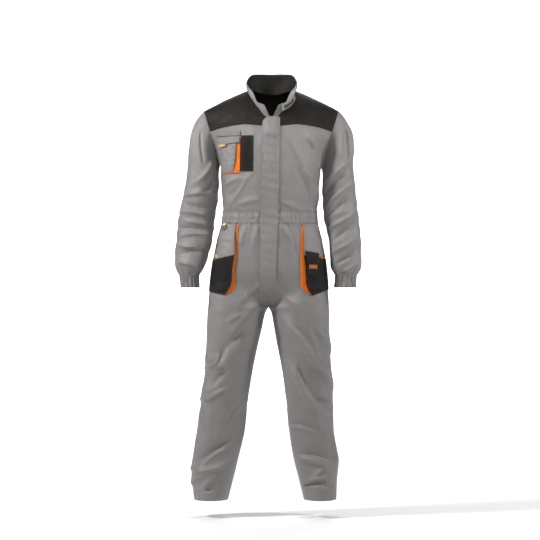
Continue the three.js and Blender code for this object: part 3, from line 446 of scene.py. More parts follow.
def woven_group():
    group, n, given, result = new_group(
        "woven_cloth",
        [
            ("Cloth", "NodeSocketColor", (0.3, 0.3, 0.3, 1)),
            ("Thread", "NodeSocketColor", (0.5, 0.5, 0.5, 1)),
            ("Wear", "NodeSocketFloat", 0.1),
            ("Ribs", "NodeSocketFloat", 1.0),
        ],
        [("Colour", "NodeSocketColor"), ("Height", "NodeSocketFloat"), ("Roughness", "NodeSocketFloat")],
    )
    weave = n.add("ShaderNodeUVMap", uv_map="weave").outputs[0]
    edges = n.add("ShaderNodeUVMap", uv_map="edges").outputs[0]
    run = n.add("ShaderNodeSeparateXYZ")
    n.link(weave, run.inputs[0])
    gap = n.add("ShaderNodeSeparateXYZ")
    n.link(edges, gap.inputs[0])
    slant = n.math("ADD", run.outputs[0], n.math("MULTIPLY", run.outputs[1], 0.8))
    rib = n.math("SINE", n.math("MULTIPLY", slant, 2 * math.pi / RIB))
    rib = n.math("MULTIPLY", rib, given.outputs["Ribs"])

    def row_of_stitches(distance, along):
        total = 0.0
        for row in ROWS:
            off = n.math("ABSOLUTE", n.math("SUBTRACT", distance, row))
            line = n.spread(off, ROW_CORE, ROW_EDGE, 1.0, 0.0)
            total = n.math("MAXIMUM", line, total)
        dash = n.math("SINE", n.math("MULTIPLY", along, 2 * math.pi / DASH))
        return total, n.spread(dash, -0.6, -0.2)

    side_row, side_dash = row_of_stitches(gap.outputs[0], run.outputs[1])
    end_row, end_dash = row_of_stitches(gap.outputs[1], run.outputs[0])
    row = n.math("MAXIMUM", side_row, end_row)
    side_stitch = n.math("MULTIPLY", side_row, side_dash)
    end_stitch = n.math("MULTIPLY", end_row, end_dash)
    stitch = n.math("MAXIMUM", side_stitch, end_stitch)
    nearest = n.math("MINIMUM", gap.outputs[0], gap.outputs[1])
    near_edge = n.spread(nearest, 0.004, 0.02, 1.0, 0.0)
    place = n.add("ShaderNodeTexCoord").outputs["Object"]
    mottle = n.noise(place, 22.0, 4.0, 0.6)
    crumple = n.noise(place, 60.0, 3.0, 0.55)
    pucker = n.math("MULTIPLY", n.math("SUBTRACT", n.noise(place, 170.0, 2.0), 0.5), near_edge)
    lint = n.noise(place, 900.0, 2.0)
    wear_and_painted_shade = n.math("MULTIPLY", n.spread(mottle, 0.35, 0.7, -1.0, 1.0), given.outputs["Wear"])
    wear_and_painted_shade = n.math("ADD", wear_and_painted_shade, n.math("MULTIPLY", n.math("SUBTRACT", lint, 0.5), 0.12))
    # the puckers and ribs lighten and darken the colour with their bumps: painted shade on the random wear
    wear_and_painted_shade = n.math("ADD", wear_and_painted_shade, n.math("MULTIPLY", pucker, 0.3))
    wear_and_painted_shade = n.math("ADD", n.math("ADD", wear_and_painted_shade, 1.0), n.math("MULTIPLY", rib, 0.05))
    shade = n.add("ShaderNodeCombineXYZ")
    for socket in shade.inputs:
        n.link(wear_and_painted_shade, socket)
    colour = n.mix_colour(1.0, given.outputs["Cloth"], shade.outputs[0], "MULTIPLY")
    # the stitching rows are darkened towards near black: painted shade in the furrow
    colour = n.mix_colour(n.math("MULTIPLY", row, 0.6), colour, FURROW_SHADE)
    colour = n.mix_colour(n.math("MULTIPLY", stitch, 0.75), colour, given.outputs["Thread"])
    height = n.math("MULTIPLY", rib, RIB_HIGH)
    for part, high in ((row, -FURROW_DEEP), (stitch, THREAD_HIGH), (pucker, PUCKER_HIGH),
                       (n.math("SUBTRACT", crumple, 0.5), CRUMPLE_HIGH)):
        height = n.math("ADD", height, n.math("MULTIPLY", part, high))
    n.link(colour, result.inputs["Colour"])
    n.link(height, result.inputs["Height"])
    n.link(n.spread(crumple, 0.3, 0.7, 0.64, 0.5), result.inputs["Roughness"])
    return group


woven = woven_group()
print("nodes in the woven group:", len(woven.nodes))

# %% [markdown]
# ## The finishes
# Grey twill is the suit's main cloth. Black and orange twill mark the yokes and pockets, and
# yellow tape the small tabs. The grey has a slight gloss, as pressed polyester-cotton twill does,
# and the phone pocket's label is a plain strip in two colours.

# %% Cloth materials
def new_material(name):
    material = bpy.data.materials.new(name)
    material.use_nodes = True
    nodes = Nodes(material.node_tree)
    return material, nodes, material.node_tree.nodes["Principled BSDF"]


def cloth_material(name, colour, thread, wear, sheen, shine=0.3, ribs=1.0):
    material, n, surface = new_material(name)
    cloth = n.add("ShaderNodeGroup", node_tree=woven)
    for label, value in (("Cloth", colour), ("Thread", thread), ("Wear", wear), ("Ribs", ribs)):
        cloth.inputs[label].default_value = value
    bump = n.add("ShaderNodeBump")
    bump.inputs["Distance"].default_value = 1.0
    bump.inputs["Strength"].default_value = 0.9
    n.link(cloth.outputs["Height"], bump.inputs["Height"])
    n.link(cloth.outputs["Colour"], surface.inputs["Base Color"])
    n.link(cloth.outputs["Roughness"], surface.inputs["Roughness"])
    n.link(bump.outputs[0], surface.inputs["Normal"])
    surface.inputs["Specular IOR Level"].default_value = shine
    surface.inputs["Sheen Weight"].default_value = sheen
    surface.inputs["Sheen Roughness"].default_value = 0.5
    return material


LABEL_TOP, LABEL_FOOT = linear(190, 96, 52), linear(112, 98, 86)
LABEL_CHANGE = (0.0086, 0.0092)


def label_material():
    material = cloth_material("label_cloth", LABEL_TOP, linear(160, 96, 70), 0.06, 0.03)
    n = Nodes(material.node_tree)
    down = n.add("ShaderNodeSeparateXYZ")
    n.link(n.add("ShaderNodeUVMap", uv_map="weave").outputs[0], down.inputs[0])
    lower = n.spread(down.outputs[1], *LABEL_CHANGE)
    cloth = next(node for node in material.node_tree.nodes if node.type == "GROUP")
    n.link(n.mix_colour(lower, LABEL_TOP, LABEL_FOOT), cloth.inputs["Cloth"])
    return material


# name: cloth, thread, wear, sheen, shine, strength of the ribs
CLOTHS = {
    "grey_twill": ((115, 111, 110), (134, 130, 128), 0.03, 0.12, 0.8, 1.0),
    "black_twill": ((30, 27, 24), (50, 46, 42), 0.08, 0.02, 0.16, 1.0),
    "orange_twill": ((206, 104, 28), (214, 122, 54), 0.06, 0.05, 0.3, 1.0),
    "yellow_tape": ((204, 180, 126), (180, 150, 92), 0.05, 0.05, 0.3, 1.5),
    "zip_tape": ((36, 34, 33), (60, 58, 56), 0.05, 0.03, 0.3, 1.0),
    "strap_tape": ((214, 192, 138), (190, 160, 100), 0.05, 0.05, 0.3, 0.0),
}
materials = {
    name: cloth_material(name, linear(*cloth), linear(*thread), *rest)
    for name, (cloth, thread, *rest) in CLOTHS.items()
}
materials["label_cloth"] = label_material()
print("cloth finishes:", ", ".join(materials))

# %% [markdown]
# ## Hook tape and dark metal
# The hook tape is a black pile of tiny hooks, drawn as a close grain. The slider, its pull and the
# ring are dark, slightly worn metal.

# %% Hook and metal materials
def hook_material():
    material, n, surface = new_material("hook_tape")
    weave = n.add("ShaderNodeUVMap", uv_map="weave").outputs[0]
    cells = n.add("ShaderNodeTexVoronoi", feature="F1")
    n.link(weave, cells.inputs["Vector"])
    cells.inputs["Scale"].default_value = 900.0
    n.link(n.mix_colour(cells.outputs["Distance"], linear(22, 22, 23), linear(64, 62, 62)),
           surface.inputs["Base Color"])
    bump = n.add("ShaderNodeBump")
    bump.inputs["Distance"].default_value = 0.0006
    n.link(cells.outputs["Distance"], bump.inputs["Height"])
    n.link(bump.outputs[0], surface.inputs["Normal"])
    surface.inputs["Roughness"].default_value = 0.85
    return material


def metal_material():
    material, n, surface = new_material("dark_metal")
    place = n.add("ShaderNodeTexCoord").outputs["Object"]
    scuff = n.noise(place, 380.0, 4.0, 0.7)
    n.link(n.mix_colour(n.spread(scuff, 0.4, 0.75), linear(58, 56, 55), linear(104, 101, 98)),
           surface.inputs["Base Color"])
    n.link(n.spread(scuff, 0.3, 0.8, 0.32, 0.55), surface.inputs["Roughness"])
    surface.inputs["Metallic"].default_value = 1.0
    return material


materials["hook_tape"] = hook_material()
materials["dark_metal"] = metal_material()
print("finishes in all:", len(materials))

# %% [markdown]
# ## Cloth from a grid
# A woven panel is made as a flat grid by `create_grid`. Its two flat directions, `s` across and `t`
# along, are then laid onto the body's surface, and every vertex is lifted along the surface's
# normal by the height of its creases. Solidify gives the cloth its thickness and Bevel softens its
# cut edges. Two UV maps go with it: one in metres, for the weave, and one with the distance to the
# sewn edges, for the rows of stitching.

# %% Make one sheet
CLOTH = 1.6
DOUBLE = 2.2
STEP = 1e-3
STATIONS = np.linspace(0, 1, 41)
EVERY_EDGE = "left right low high"


def level(height):
    return lambda s, t: height + 0 * (s + t)


def sheet_normals(point, s, t, ring):
    limit = (lambda value: value) if ring else (lambda value: np.clip(value, 0, 1))
    across = point(limit(s + STEP), t) - point(limit(s - STEP), t)
    along = point(s, np.clip(t + STEP, 0, 1)) - point(s, np.clip(t - STEP, 0, 1))
    normals = np.cross(across, along)
    return normals / np.maximum(np.linalg.norm(normals, axis=-1, keepdims=True), 1e-12)


def measure(point):
    s, t = np.meshgrid(STATIONS, STATIONS)
    spots = point(s, t)
    across = np.linalg.norm(np.diff(spots, axis=1), axis=-1).sum(axis=1)
    along = np.linalg.norm(np.diff(spots, axis=0), axis=-1).sum(axis=0)
    patches = np.cross(np.diff(spots, axis=1)[:-1], np.diff(spots, axis=0)[:, :-1])
    return across, along, float(np.linalg.norm(patches, axis=-1).sum())


FAR = 1.0


def edge_distance(share, size, names, sewn):
    far = FAR + 0 * share
    low = share * size if names[0] in sewn else far
    high = (1 - share) * size if names[1] in sewn else far
    return np.minimum(low, high)


def outward_side(point, core, ring):
    middle = np.array([0.5])
    facing = sheet_normals(point, middle, middle, ring)[0]
    away = point(middle, middle)[0, :2] - np.array(core) * MM
    return 1 if facing[:2] @ away >= 0 else -1


def sheet_maps(s, t, across, along, sewn, hem):
    width, length = np.interp(t, STATIONS, across), np.interp(s, STATIONS, along)
    side_edge = edge_distance(s, width, ("left", "right"), sewn)
    end_edge = edge_distance(t, length, ("low", "high"), sewn)
    end_edge = np.where(end_edge < hem, FAR, end_edge - hem)
    weave = np.stack([s * across.mean(), t * along.mean()], axis=-1)
    return {"weave": weave, "edges": np.stack([side_edge, end_edge], axis=-1)}


def make_sheet(name, point, fine=5.0, thick=CLOTH, lift=level(0), core=(0, 0), ring=False,
               sewn=EVERY_EDGE, hem=0.0):
    across, along, _ = measure(point)
    cells = [max(4, round(size.max() / MM / fine)) for size in (across, along)]
    mesh = bmesh.new()
    bmesh.ops.create_grid(mesh, x_segments=cells[0], y_segments=cells[1], size=0.5)
    data = bpy.data.meshes.new(name)
    mesh.to_mesh(data)
    flat = np.empty(3 * len(data.vertices))
    data.vertices.foreach_get("co", flat)
    s, t = flat[0::3] + 0.5, flat[1::3] + 0.5
    outward = outward_side(point, core, ring)
    spots = point(s, t) + sheet_normals(point, s, t, ring) * (outward * MM * lift(s, t))[:, None]
    corners = np.empty(len(data.loops), dtype=np.int32)
    data.loops.foreach_get("vertex_index", corners)
    for label, pairs in sheet_maps(s, t, across, along, sewn, hem).items():
        data.uv_layers.new(name=label).data.foreach_set("uv", pairs[corners].ravel())
    data.vertices.foreach_set("co", spots.ravel())
    mesh.clear()
    mesh.from_mesh(data)
    if ring:
        bmesh.ops.remove_doubles(mesh, verts=mesh.verts[:], dist=1e-5)
    if outward < 0:
        bmesh.ops.reverse_faces(mesh, faces=mesh.faces[:])
    mesh.to_mesh(data)
    mesh.free()
    data.shade_smooth()
    piece = bpy.data.objects.new(name, data)
    bpy.context.scene.collection.objects.link(piece)
    shell = piece.modifiers.new("thickness", "SOLIDIFY")
    shell.thickness = thick * MM
    shell.offset = -1
    shell.use_even_offset = False
    soft_edges(piece, min(thick * 0.35, 0.6))
    return piece


def soft_edges(piece, width):
    bevel = piece.modifiers.new("soft edges", "BEVEL")
    bevel.width = width * MM
    bevel.segments = 2
    bevel.limit_method = "ANGLE"
    bevel.angle_limit = math.radians(50)
    bevel.harden_normals = True


print("a sheet takes its size in cells from its widest row and its longest column")

# %% [markdown]
# Each sheet rides on the suit, stands for its CAD node, and states the flat size it was cut to.
# That size is measured on the surface before the creases. A gathered band is cut longer than it
# lies, because elastic draws it in.

# %% Declare one sheet
SMALLEST_CUT = 0.01
flat_sizes = {}


def declare(piece, point, node, slot, fullness=1.0, finish=None):
    across, along, area = measure(point)
    cut = (across.max() * fullness, along.max())
    flat = tuple(max(SMALLEST_CUT, round(float(size), 3)) for size in cut)
    area = round(min(area * fullness, flat[0] * flat[1]), 5)
    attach(piece, "suit")
    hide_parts(node)
    flat_sizes[piece.name] = (*flat, area)
    piece.data.materials.append(materials[finish or slot])


print("sheets declared so far:", len(flat_sizes))

# %% [markdown]
# ## Creases of a worn suit
# Cloth that hangs from a few points folds softly between them. The main creases are listed one by
# one, each with its own length, width and height, as soft ridges and troughs. A slow ripple made
# of a few sine waves joins them, so that no part of a panel is dead flat.

# %% Crease tables
CREASE_DEPTH = 1.7
# start (x, z), end (x, z), half width, height, bend
CREASES = {
    (FRONT, RIGHT): [
        ((66, -300), (150, -430), 10, 3.2, 5),
        ((110, -318), (168, -352), 8, 3.4, 6),
        ((96, -330), (150, -392), 9, -3.0, -4),
        ((40, -396), (120, -418), 8, 2.4, 3),
        ((40, -486), (60, -590), 9, 3.0, 3),
        ((84, -488), (100, -560), 8, 2.6, 2),
        ((20, -700), (112, -780), 12, 3.4, 6),
        ((42, -770), (150, -932), 13, 5.0, 10),
        ((106, -884), (186, -986), 18, -6.5, 8),
        ((101, -812), (146, -842), 9, 3.4, 3),
        ((176, -948), (232, -1008), 10, 6.0, -16),
        ((186, -972), (236, -998), 7, -5.5, -3),
        ((150, -1018), (200, -1070), 14, -4.5, 4),
        ((160, -1078), (243, -1123), 10, 6.5, -10),
        ((150, -1068), (232, -1100), 8, -4.0, -8),
        ((82, -1125), (126, -1186), 9, 3.6, 4),
        ((96, -1134), (140, -1200), 9, -3.6, 4),
        ((230, -1150), (236, -1230), 9, 3.4, 4),
        ((140, -1268), (272, -1352), 13, -7.0, -8),
        ((150, -1350), (274, -1372), 10, 6.5, -18),
        ((160, -1304), (236, -1370), 9, 3.6, 8),
        ((228, -1398), (272, -1430), 8, 5.0, 3),
        ((186, -1398), (226, -1448), 8, 4.2, 3),
        ((196, -1448), (262, -1456), 8, -5.0, 3),
    ],
    (FRONT, LEFT): [
        ((150, -160), (178, -292), 10, 4.0, -8),
        ((126, -178), (168, -258), 8, -2.6, 4),
        ((70, -190), (150, -382), 14, 3.2, 10),
        ((128, -296), (172, -420), 10, 3.6, 8),
        ((104, -300), (150, -428), 9, -3.2, 6),
        ((40, -402), (92, -424), 8, 2.2, -3),
        ((30, -486), (88, -560), 9, 3.4, 3),
        ((66, -486), (100, -610), 8, -2.6, 2),
        ((16, -706), (104, -776), 12, 3.4, -6),
        ((70, -841), (228, -1066), 11, 7.5, 4),
        ((92, -852), (206, -1000), 10, -4.5, 6),
        ((188, -880), (226, -960), 14, 5.0, 6),
        ((162, -863), (206, -986), 14, -5.0, 5),
        ((76, -996), (202, -1246), 12, 7.0, 8),
        ((116, -1010), (230, -1148), 13, -7.5, -20),
        ((186, -1108), (236, -1140), 9, 5.0, 6),
        ((76, -1208), (174, -1226), 7, -4.5, 5),
        ((80, -1222), (176, -1242), 9, 3.0, 5),
        ((100, -1316), (250, -1346), 12, -7.5, 12),
        ((118, -1338), (212, -1364), 11, 5.5, 8),
        ((178, -1394), (242, -1362), 8, 3.6, 3),
        ((128, -1441), (246, -1434), 8, -7.0, 14),
        ((140, -1424), (232, -1410), 8, 3.6, 8),
    ],
    (BACK, RIGHT): [
        ((20, -236), (120, -330), 12, 4.4, 5),
        ((50, -390), (164, -404), 10, 4.0, -4),
        ((96, -250), (150, -392), 12, -4.0, 6),
        ((24, -500), (60, -690), 12, 4.0, 4),
        ((96, -500), (130, -640), 11, -3.6, 4),
        ((14, -800), (150, -856), 12, 6.0, 6),
        ((30, -850), (190, -905), 12, -5.5, 6),
        ((70, -980), (214, -1014), 11, 6.0, 6),
        ((84, -1020), (220, -1062), 11, -5.0, 6),
        ((100, -1160), (240, -1180), 12, 5.5, 6),
        ((120, -1262), (250, -1286), 12, -5.5, 4),
        ((150, -1436), (256, -1448), 9, -6.0, 3),
    ],
    (BACK, LEFT): [
        ((24, -250), (130, -344), 12, 4.4, -5),
        ((44, -372), (160, -396), 10, 4.0, 4),
        ((90, -236), (156, -370), 12, -4.0, -6),
        ((30, -500), (66, -680), 12, 4.0, -4),
        ((100, -496), (128, -650), 11, -3.6, -4),
        ((14, -796), (160, -848), 12, 6.0, -5),
        ((30, -840), (200, -884), 12, -5.5, -5),
        ((70, -990), (220, -1020), 11, 6.0, -6),
        ((90, -1030), (226, -1050), 11, -5.0, -6),
        ((100, -1170), (236, -1150), 12, 5.5, -6),
        ((118, -1270), (244, -1260), 12, -5.5, 4),
        ((140, -1430), (248, -1442), 9, -6.0, 3),
    ],
}


def ripple(x, z, size, seed):
    total = 0 * (x + z)
    for k, (turn, stretch) in enumerate(((0.35, 1.0), (1.35, 0.74), (2.2, 1.31), (2.9, 0.57))):
        lean = turn + 0.37 * seed
        along = (x * math.cos(lean) + z * math.sin(lean)) / (size * stretch)
        cross = (z * math.cos(lean) - x * math.sin(lean)) / (size * 2.3)
        bent = 1.7 * k + seed + 1.3 * np.sin(2 * np.pi * cross + seed)
        total = total + np.sin(2 * np.pi * along + bent)
    return total / 4


def crease(x, z, start, end, wide, high, bend):
    t, off = along_and_off(x, z, start, end, bend)
    ends = smooth_step(-0.2, 0.25, t) * (1 - smooth_step(0.7, 1.2, t))
    reach = wide * np.where(off > 0, 1.35, 0.75) * (0.8 + 0.4 * np.clip(t, 0, 1))
    return CREASE_DEPTH * high * ends * np.exp(-1.1 * (np.abs(off) / reach) ** 1.7)


def creases(face, side, x, z):
    total = 0 * (x + z)
    for row in CREASES[face, side]:
        total = total + crease(x, z, *row)
    return total


def panel_height(face, point):
    def height(s, t):
        spots = point(s, t) / MM
        x, z = spots[..., 0] - lean_at(spots[..., 2]), spots[..., 2]
        right, left = creases(face, RIGHT, -x, z), creases(face, LEFT, x, z)
        slow = 1.3 * ripple(x, z, 92, 1.0 + face) + 0.5 * ripple(x, z, 37, 2.0 + face)
        calm = smooth_step(0, 0.05, s) * smooth_step(0, 0.05, 1 - s)
        calm = calm * smooth_step(0, 0.02, t) * smooth_step(0, 0.02, 1 - t)
        return (np.where(x < 0, right, left) + slow) * calm

    return height


print("creases placed by hand:", sum(len(rows) for rows in CREASES.values()))

# %% [markdown]
# ## Fronts, back and yokes
# The fronts stop beside the zip. The back is one piece, as there is no seam down its middle. The
# black yokes lie over the shoulders, where a work suit needs its strongest cloth.

# %% Bodice panels
SEAM_SHARE = 0.00005
FRONT_EDGE = 3.6
EDGE_SHARE = (FRONT_EDGE / TRUNK[0][1]) ** (1 / SQUARE) * 2 / math.pi


def edge_share(up):
    return mix(EDGE_SHARE, FRONT_EDGE / SHOULDER["x"], np.sin(np.pi / 2 * np.clip(up, 0, 1)))


def up_to_yoke(face, share, t):
    top = yoke_seam(face, share) - SEAM_SHARE
    return np.where(t < 0.5, mix(-1 + 2 * SEAM_SHARE, 0, 2 * t), mix(0, top, 2 * t - 1))


def across_back(s):
    return mix(-1 + SEAM_SHARE, 1 - SEAM_SHARE, s)


def front_panel(side):
    def point(s, t):
        share = mix(edge_share(up_to_yoke(FRONT, s, t)), 1 - SEAM_SHARE, s)
        return upper_point(side, FRONT, share, up_to_yoke(FRONT, share, t))

    return point


def back_panel(s, t):
    across = across_back(s)

    def half(side, share):
        return upper_point(side, BACK, share, up_to_yoke(BACK, share, t))

    return both_sides(half, across)


def front_yoke(side):
    def point(s, t):
        share = mix(edge_share(YOKE_SEAM[FRONT][0]), 1 - SEAM_SHARE, s)
        low, top = yoke_seam(FRONT, share), neckline(FRONT, share)
        return upper_point(side, FRONT, share, mix(low + SEAM_SHARE, top - SEAM_SHARE, t))

    return point


def back_yoke(s, t):
    def half(side, share):
        low, top = yoke_seam(BACK, share), neckline(BACK, share)
        return upper_point(side, BACK, share, mix(low + SEAM_SHARE, top - SEAM_SHARE, t))

    return both_sides(half, across_back(s))


SIDES = ((RIGHT, "right"), (LEFT, "left"))
for side, name in SIDES:
    point = front_panel(side)
    piece = make_sheet(f"cloth_front_{name}", point, lift=panel_height(FRONT, point), sewn="high right")
    declare(piece, point, f"front_{name}", "grey_twill")
    point = front_yoke(side)
    piece = make_sheet(f"cloth_yoke_front_{name}", point, lift=panel_height(FRONT, point),
                       sewn="low high right")
    declare(piece, point, f"yoke_front_{name}", "black_twill")
piece = make_sheet("cloth_back", back_panel, lift=panel_height(BACK, back_panel), sewn="high left right")
declare(piece, back_panel, "back", "grey_twill")
piece = make_sheet("cloth_yoke_back", back_yoke, lift=panel_height(BACK, back_yoke), sewn="low high")
declare(piece, back_yoke, "yoke_back", "black_twill")
print("bodice sheets:", len(flat_sizes))

# %% [markdown]
# ## Collar and its lining
# The stand collar rises from the neckline and is worn open, so its front ends fall outwards. A
# black lining covers the inside of its back.

# %% Collar
NECK_RAISE = 0.3
LINING_IN = -3.1


def neck_point(along):
    away = np.abs(along)
    back_part = NECK_SHARE * away / COLLAR_BACK_SHARE
    forward = np.clip((away - COLLAR_BACK_SHARE) / (1 - COLLAR_BACK_SHARE), 0, 1)
    front_part = mix(NECK_SHARE, edge_share(NECKLINE[FRONT]), forward)

    def seam(face, share):
        return both_sides(lambda side, _: upper_point(side, face, share, neckline(face, share)), along)

    behind, ahead = seam(BACK, back_part), seam(FRONT, front_part)
    point = np.where((away < COLLAR_BACK_SHARE)[..., None], behind, ahead)
    return point + np.array([0, 0, NECK_RAISE * MM])


def collar_top_point(along):
    x, y, z = (read_table(COLLAR_TOP, COLLAR_COLUMNS, name, np.abs(along)) for name in "xyz")
    return both_sides(lambda side, _: place(side, x, y, z), along)


def collar_point(along, up):
    along, up = np.broadcast_arrays(along, up)
    point = mix(neck_point(along), collar_top_point(along), up[..., None])
    away = point * [1, 1, 0] + [0, 20 * MM, 0]
    away = away / np.linalg.norm(away, axis=-1, keepdims=True)
    return point + away * (3 * MM * np.sin(np.pi * up))[..., None]


def collar_panel(s, t):
    return collar_point(mix(-1, 1, s), t)


def collar_lining_panel(s, t):
    return collar_point(mix(-6, 6, s) / 13, mix(-0.07, 0.95, t))


def collar_height(s, t):
    return 0.9 * ripple(s * 480, t * 75, 60, 3.0) * smooth_step(0, 0.15, t) * smooth_step(0, 0.1, 1 - t)


NECK_CORE = (LEAN_TOP, -20)
piece = make_sheet("cloth_collar", collar_panel, 4, DOUBLE, collar_height, NECK_CORE)
declare(piece, collar_panel, "collar", "grey_twill")
piece = make_sheet("cloth_collar_lining", collar_lining_panel, 4, 1, level(LINING_IN), NECK_CORE)
declare(piece, collar_lining_panel, "collar_lining", "black_twill")
print("collar cut:", flat_sizes["cloth_collar"])

# %% [markdown]
# ## Waistband
# Elastic inside the waistband draws the cloth into even gathers, fewer at the front and many at the
# back. The flat band is therefore cut longer than the waist it goes round.

# %% Waistband
SEAM = 0.3
GATHER_HIGH = 2.2
BAND_WAVES = {FRONT: 7, BACK: 11}


def band_point(side, face, share, z):
    around = share / 2 if face == FRONT else 1 - share / 2
    point = lower_point(side, around, z)
    away = point * [1, 1, 0]
    away[..., 0] -= lean_at(z) * MM
    away = away / np.linalg.norm(away, axis=-1, keepdims=True)
    ease = smooth_step(0.28, 0.5, share) if face == FRONT else 1.0
    wave = GATHER_HIGH * ease * np.cos(2 * np.pi * BAND_WAVES[face] * share)
    return point + away * (wave * MM)[..., None]


def band_z(t):
    return mix(WAIST_BOTTOM_Z + SEAM, WAIST_TOP_Z - SEAM, t)


def front_band(side):
    return lambda s, t: band_point(side, FRONT, mix(EDGE_SHARE, 1 - SEAM_SHARE, s), band_z(t))


def back_band(s, t):
    return both_sides(lambda side, share: band_point(side, BACK, share, band_z(t)), across_back(s))


def band_height(waves):
    def height(s, t):
        small = np.abs(np.sin(np.pi * waves * s + 1.1 * np.sin(2 * np.pi * 3 * s) + 0.4 * t))
        wide = np.sin(np.pi * t) ** 0.6
        return 0.6 + 2.0 * wide * (small - 0.6) + 0.5 * np.cos(4 * np.pi * t)

    return height


for side, name in SIDES:
    point = front_band(side)
    piece = make_sheet(f"cloth_waistband_front_{name}", point, 2.6, DOUBLE, band_height(17),
                       sewn="low high")
    declare(piece, point, f"waistband_front_{name}", "grey_twill",
            fullness=1.15)
piece = make_sheet("cloth_waistband_back", back_band, 2.6, DOUBLE, band_height(41), sewn="low high")
declare(piece, back_band, "waistband_back", "grey_twill", fullness=1.2)
print("waistband cut at the back:", flat_sizes["cloth_waistband_back"])

# %% [markdown]
# ## Trousers
# Each leg has a front and a back, sewn at the outer side and along the inner leg. The knees break
# the long fall of the cloth into slanting folds, and a deep hem is turned up and stitched twice.

# %% Trouser panels
ZIP = dict(top=-106, bottom=-690, tape=12, chain=2.4)


def trouser_panel(side, face):
    def point(s, t):
        z = mix(WAIST_BOTTOM_Z - SEAM, HEM_Z, t)
        edge = np.where((face == FRONT) & (z > ZIP["bottom"] - 8), EDGE_SHARE / 2, 0.0)
        around = mix(edge, 0.5 - SEAM_SHARE / 2, s)
        return lower_point(side, around if face == FRONT else 1 - around, z)

    return point


# how many gathers hang from the waistband's elastic, and how far the hem's stitching is from the edge
GATHERS = {FRONT: 13, BACK: 17}
HEM_ROW = 0.016


def trouser_height(face, point):
    plain = panel_height(face, point)

    def height(s, t):
        gather = np.exp(-t * 26) * np.cos(2 * np.pi * GATHERS[face] * s + 0.7 * np.sin(9 * s))
        return plain(s, t) + 1.5 * gather * smooth_step(0.05, 0.25, s)

    return height


for side, name in SIDES:
    for face, label in ((FRONT, "front"), (BACK, "back")):
        point = trouser_panel(side, face)
        piece = make_sheet(f"cloth_trouser_{label}_{name}", point, 5.2, lift=trouser_height(face, point),
                           core=(side * 150, 0), sewn="high left right", hem=HEM_ROW)
        declare(piece, point, f"trouser_{label}_{name}", "grey_twill")
print("trouser front cut:", flat_sizes["cloth_trouser_front_right"])

# %% [markdown]
# ## Sleeves and cuffs
# A sleeve starts at the armhole as a cap and runs on as a tube. Its elbow keeps the cross folds of
# a bent arm, and elastic gathers the cuff round the wrist.

# %% Sleeves
# height, tilt round the arm, half width, height of the fold
SLEEVE_FOLDS = [
    (-352, 26, 17, 1.8),
    (-408, -30, 17, 2.4),
    (-462, 22, 16, 2.6),
    (-512, -26, 17, 2),
    (-566, 18, 18, 2.2),
    (-622, 8, 17, 2.6),
]
# A sleeve's way round in mm gives its creases one scale both ways. The cuff gathers the sleeve in
# waves that die away above it.
ROUND = 420
CUFF_WAVES = 15
CUFF_REACH = 65
# start (around, z), end (around, z), half width, height, bend
SLEEVE_CREASES = {
    RIGHT: [
        ((0.06, -130), (0.1, -240), 8, 4.5, 4),
        ((0.2, -150), (0.26, -262), 8, -3.5, 4),
        ((0.36, -250), (0.2, -330), 9, 5.0, 6),
        ((0.44, -300), (0.26, -372), 8, -4.5, 5),
        ((0.06, -384), (0.42, -372), 8, 5.0, 6),
        ((0.1, -408), (0.4, -424), 7, -4.5, -4),
        ((0.04, -440), (0.36, -452), 8, 5.0, 5),
        ((0.14, -470), (0.44, -484), 7, 4.5, -5),
        ((0.06, -498), (0.34, -506), 7, -4.5, 4),
        ((0.12, -528), (0.42, -524), 8, 5.0, 6),
        ((0.05, -556), (0.3, -566), 7, 4.5, -4),
        ((0.16, -590), (0.44, -578), 8, -4.5, 4),
        ((0.08, -622), (0.34, -640), 8, 4.5, 4),
        ((0.6, -300), (0.9, -372), 10, 5.0, 6),
        ((0.62, -420), (0.92, -400), 9, -5.0, 5),
        ((0.6, -470), (0.9, -500), 9, 5.0, -5),
        ((0.64, -540), (0.92, -530), 9, -4.5, 5),
        ((0.6, -600), (0.9, -620), 9, 5.0, 4),
    ],
    LEFT: [
        ((0.05, -120), (0.09, -250), 8, 5.0, -4),
        ((0.13, -130), (0.16, -240), 7, -4.0, 3),
        ((0.2, -150), (0.24, -240), 8, 3.5, 3),
        ((0.4, -330), (0.12, -232), 9, 5.5, 6),
        ((0.44, -372), (0.18, -290), 8, -5.0, 5),
        ((0.42, -430), (0.1, -330), 9, 5.5, -6),
        ((0.4, -452), (0.16, -380), 8, -5.0, 5),
        ((0.42, -500), (0.12, -440), 8, 5.0, 5),
        ((0.36, -540), (0.1, -478), 8, -4.5, -4),
        ((0.42, -590), (0.1, -520), 9, 5.5, 6),
        ((0.36, -626), (0.12, -572), 8, -5.0, 4),
        ((0.3, -655), (0.08, -610), 8, 4.5, 4),
        ((0.6, -320), (0.9, -360), 10, 5.0, 6),
        ((0.62, -410), (0.92, -430), 9, -5.0, 5),
        ((0.6, -490), (0.9, -470), 9, 5.0, -5),
        ((0.64, -530), (0.92, -552), 9, -4.5, 5),
        ((0.6, -620), (0.9, -596), 9, 5.0, 4),
    ],
}


def sleeve_ring(side, around, z):
    outer, inner = (read_table(SLEEVES, SLEEVE_COLUMNS, name, z) for name in edge_names(side))
    turn = 2 * np.pi * around
    fold = 0 * (turn + z)
    for middle, tilt, wide, high in SLEEVE_FOLDS:
        off = z - (middle + tilt * np.sin(turn) + 8 * side * np.cos(turn))
        fold = fold + high * np.exp(-((off / wide) ** 2))
    half = (outer - inner) / 2 - 2
    deep = read_table(SLEEVES, SLEEVE_COLUMNS, "deep", z) - 2
    x = (outer + inner) / 2 + (half + fold) * np.cos(turn)
    y = read_table(SLEEVES, SLEEVE_COLUMNS, "middle", z) - (deep + fold) * np.sin(turn)
    return place(side, x, y, z)


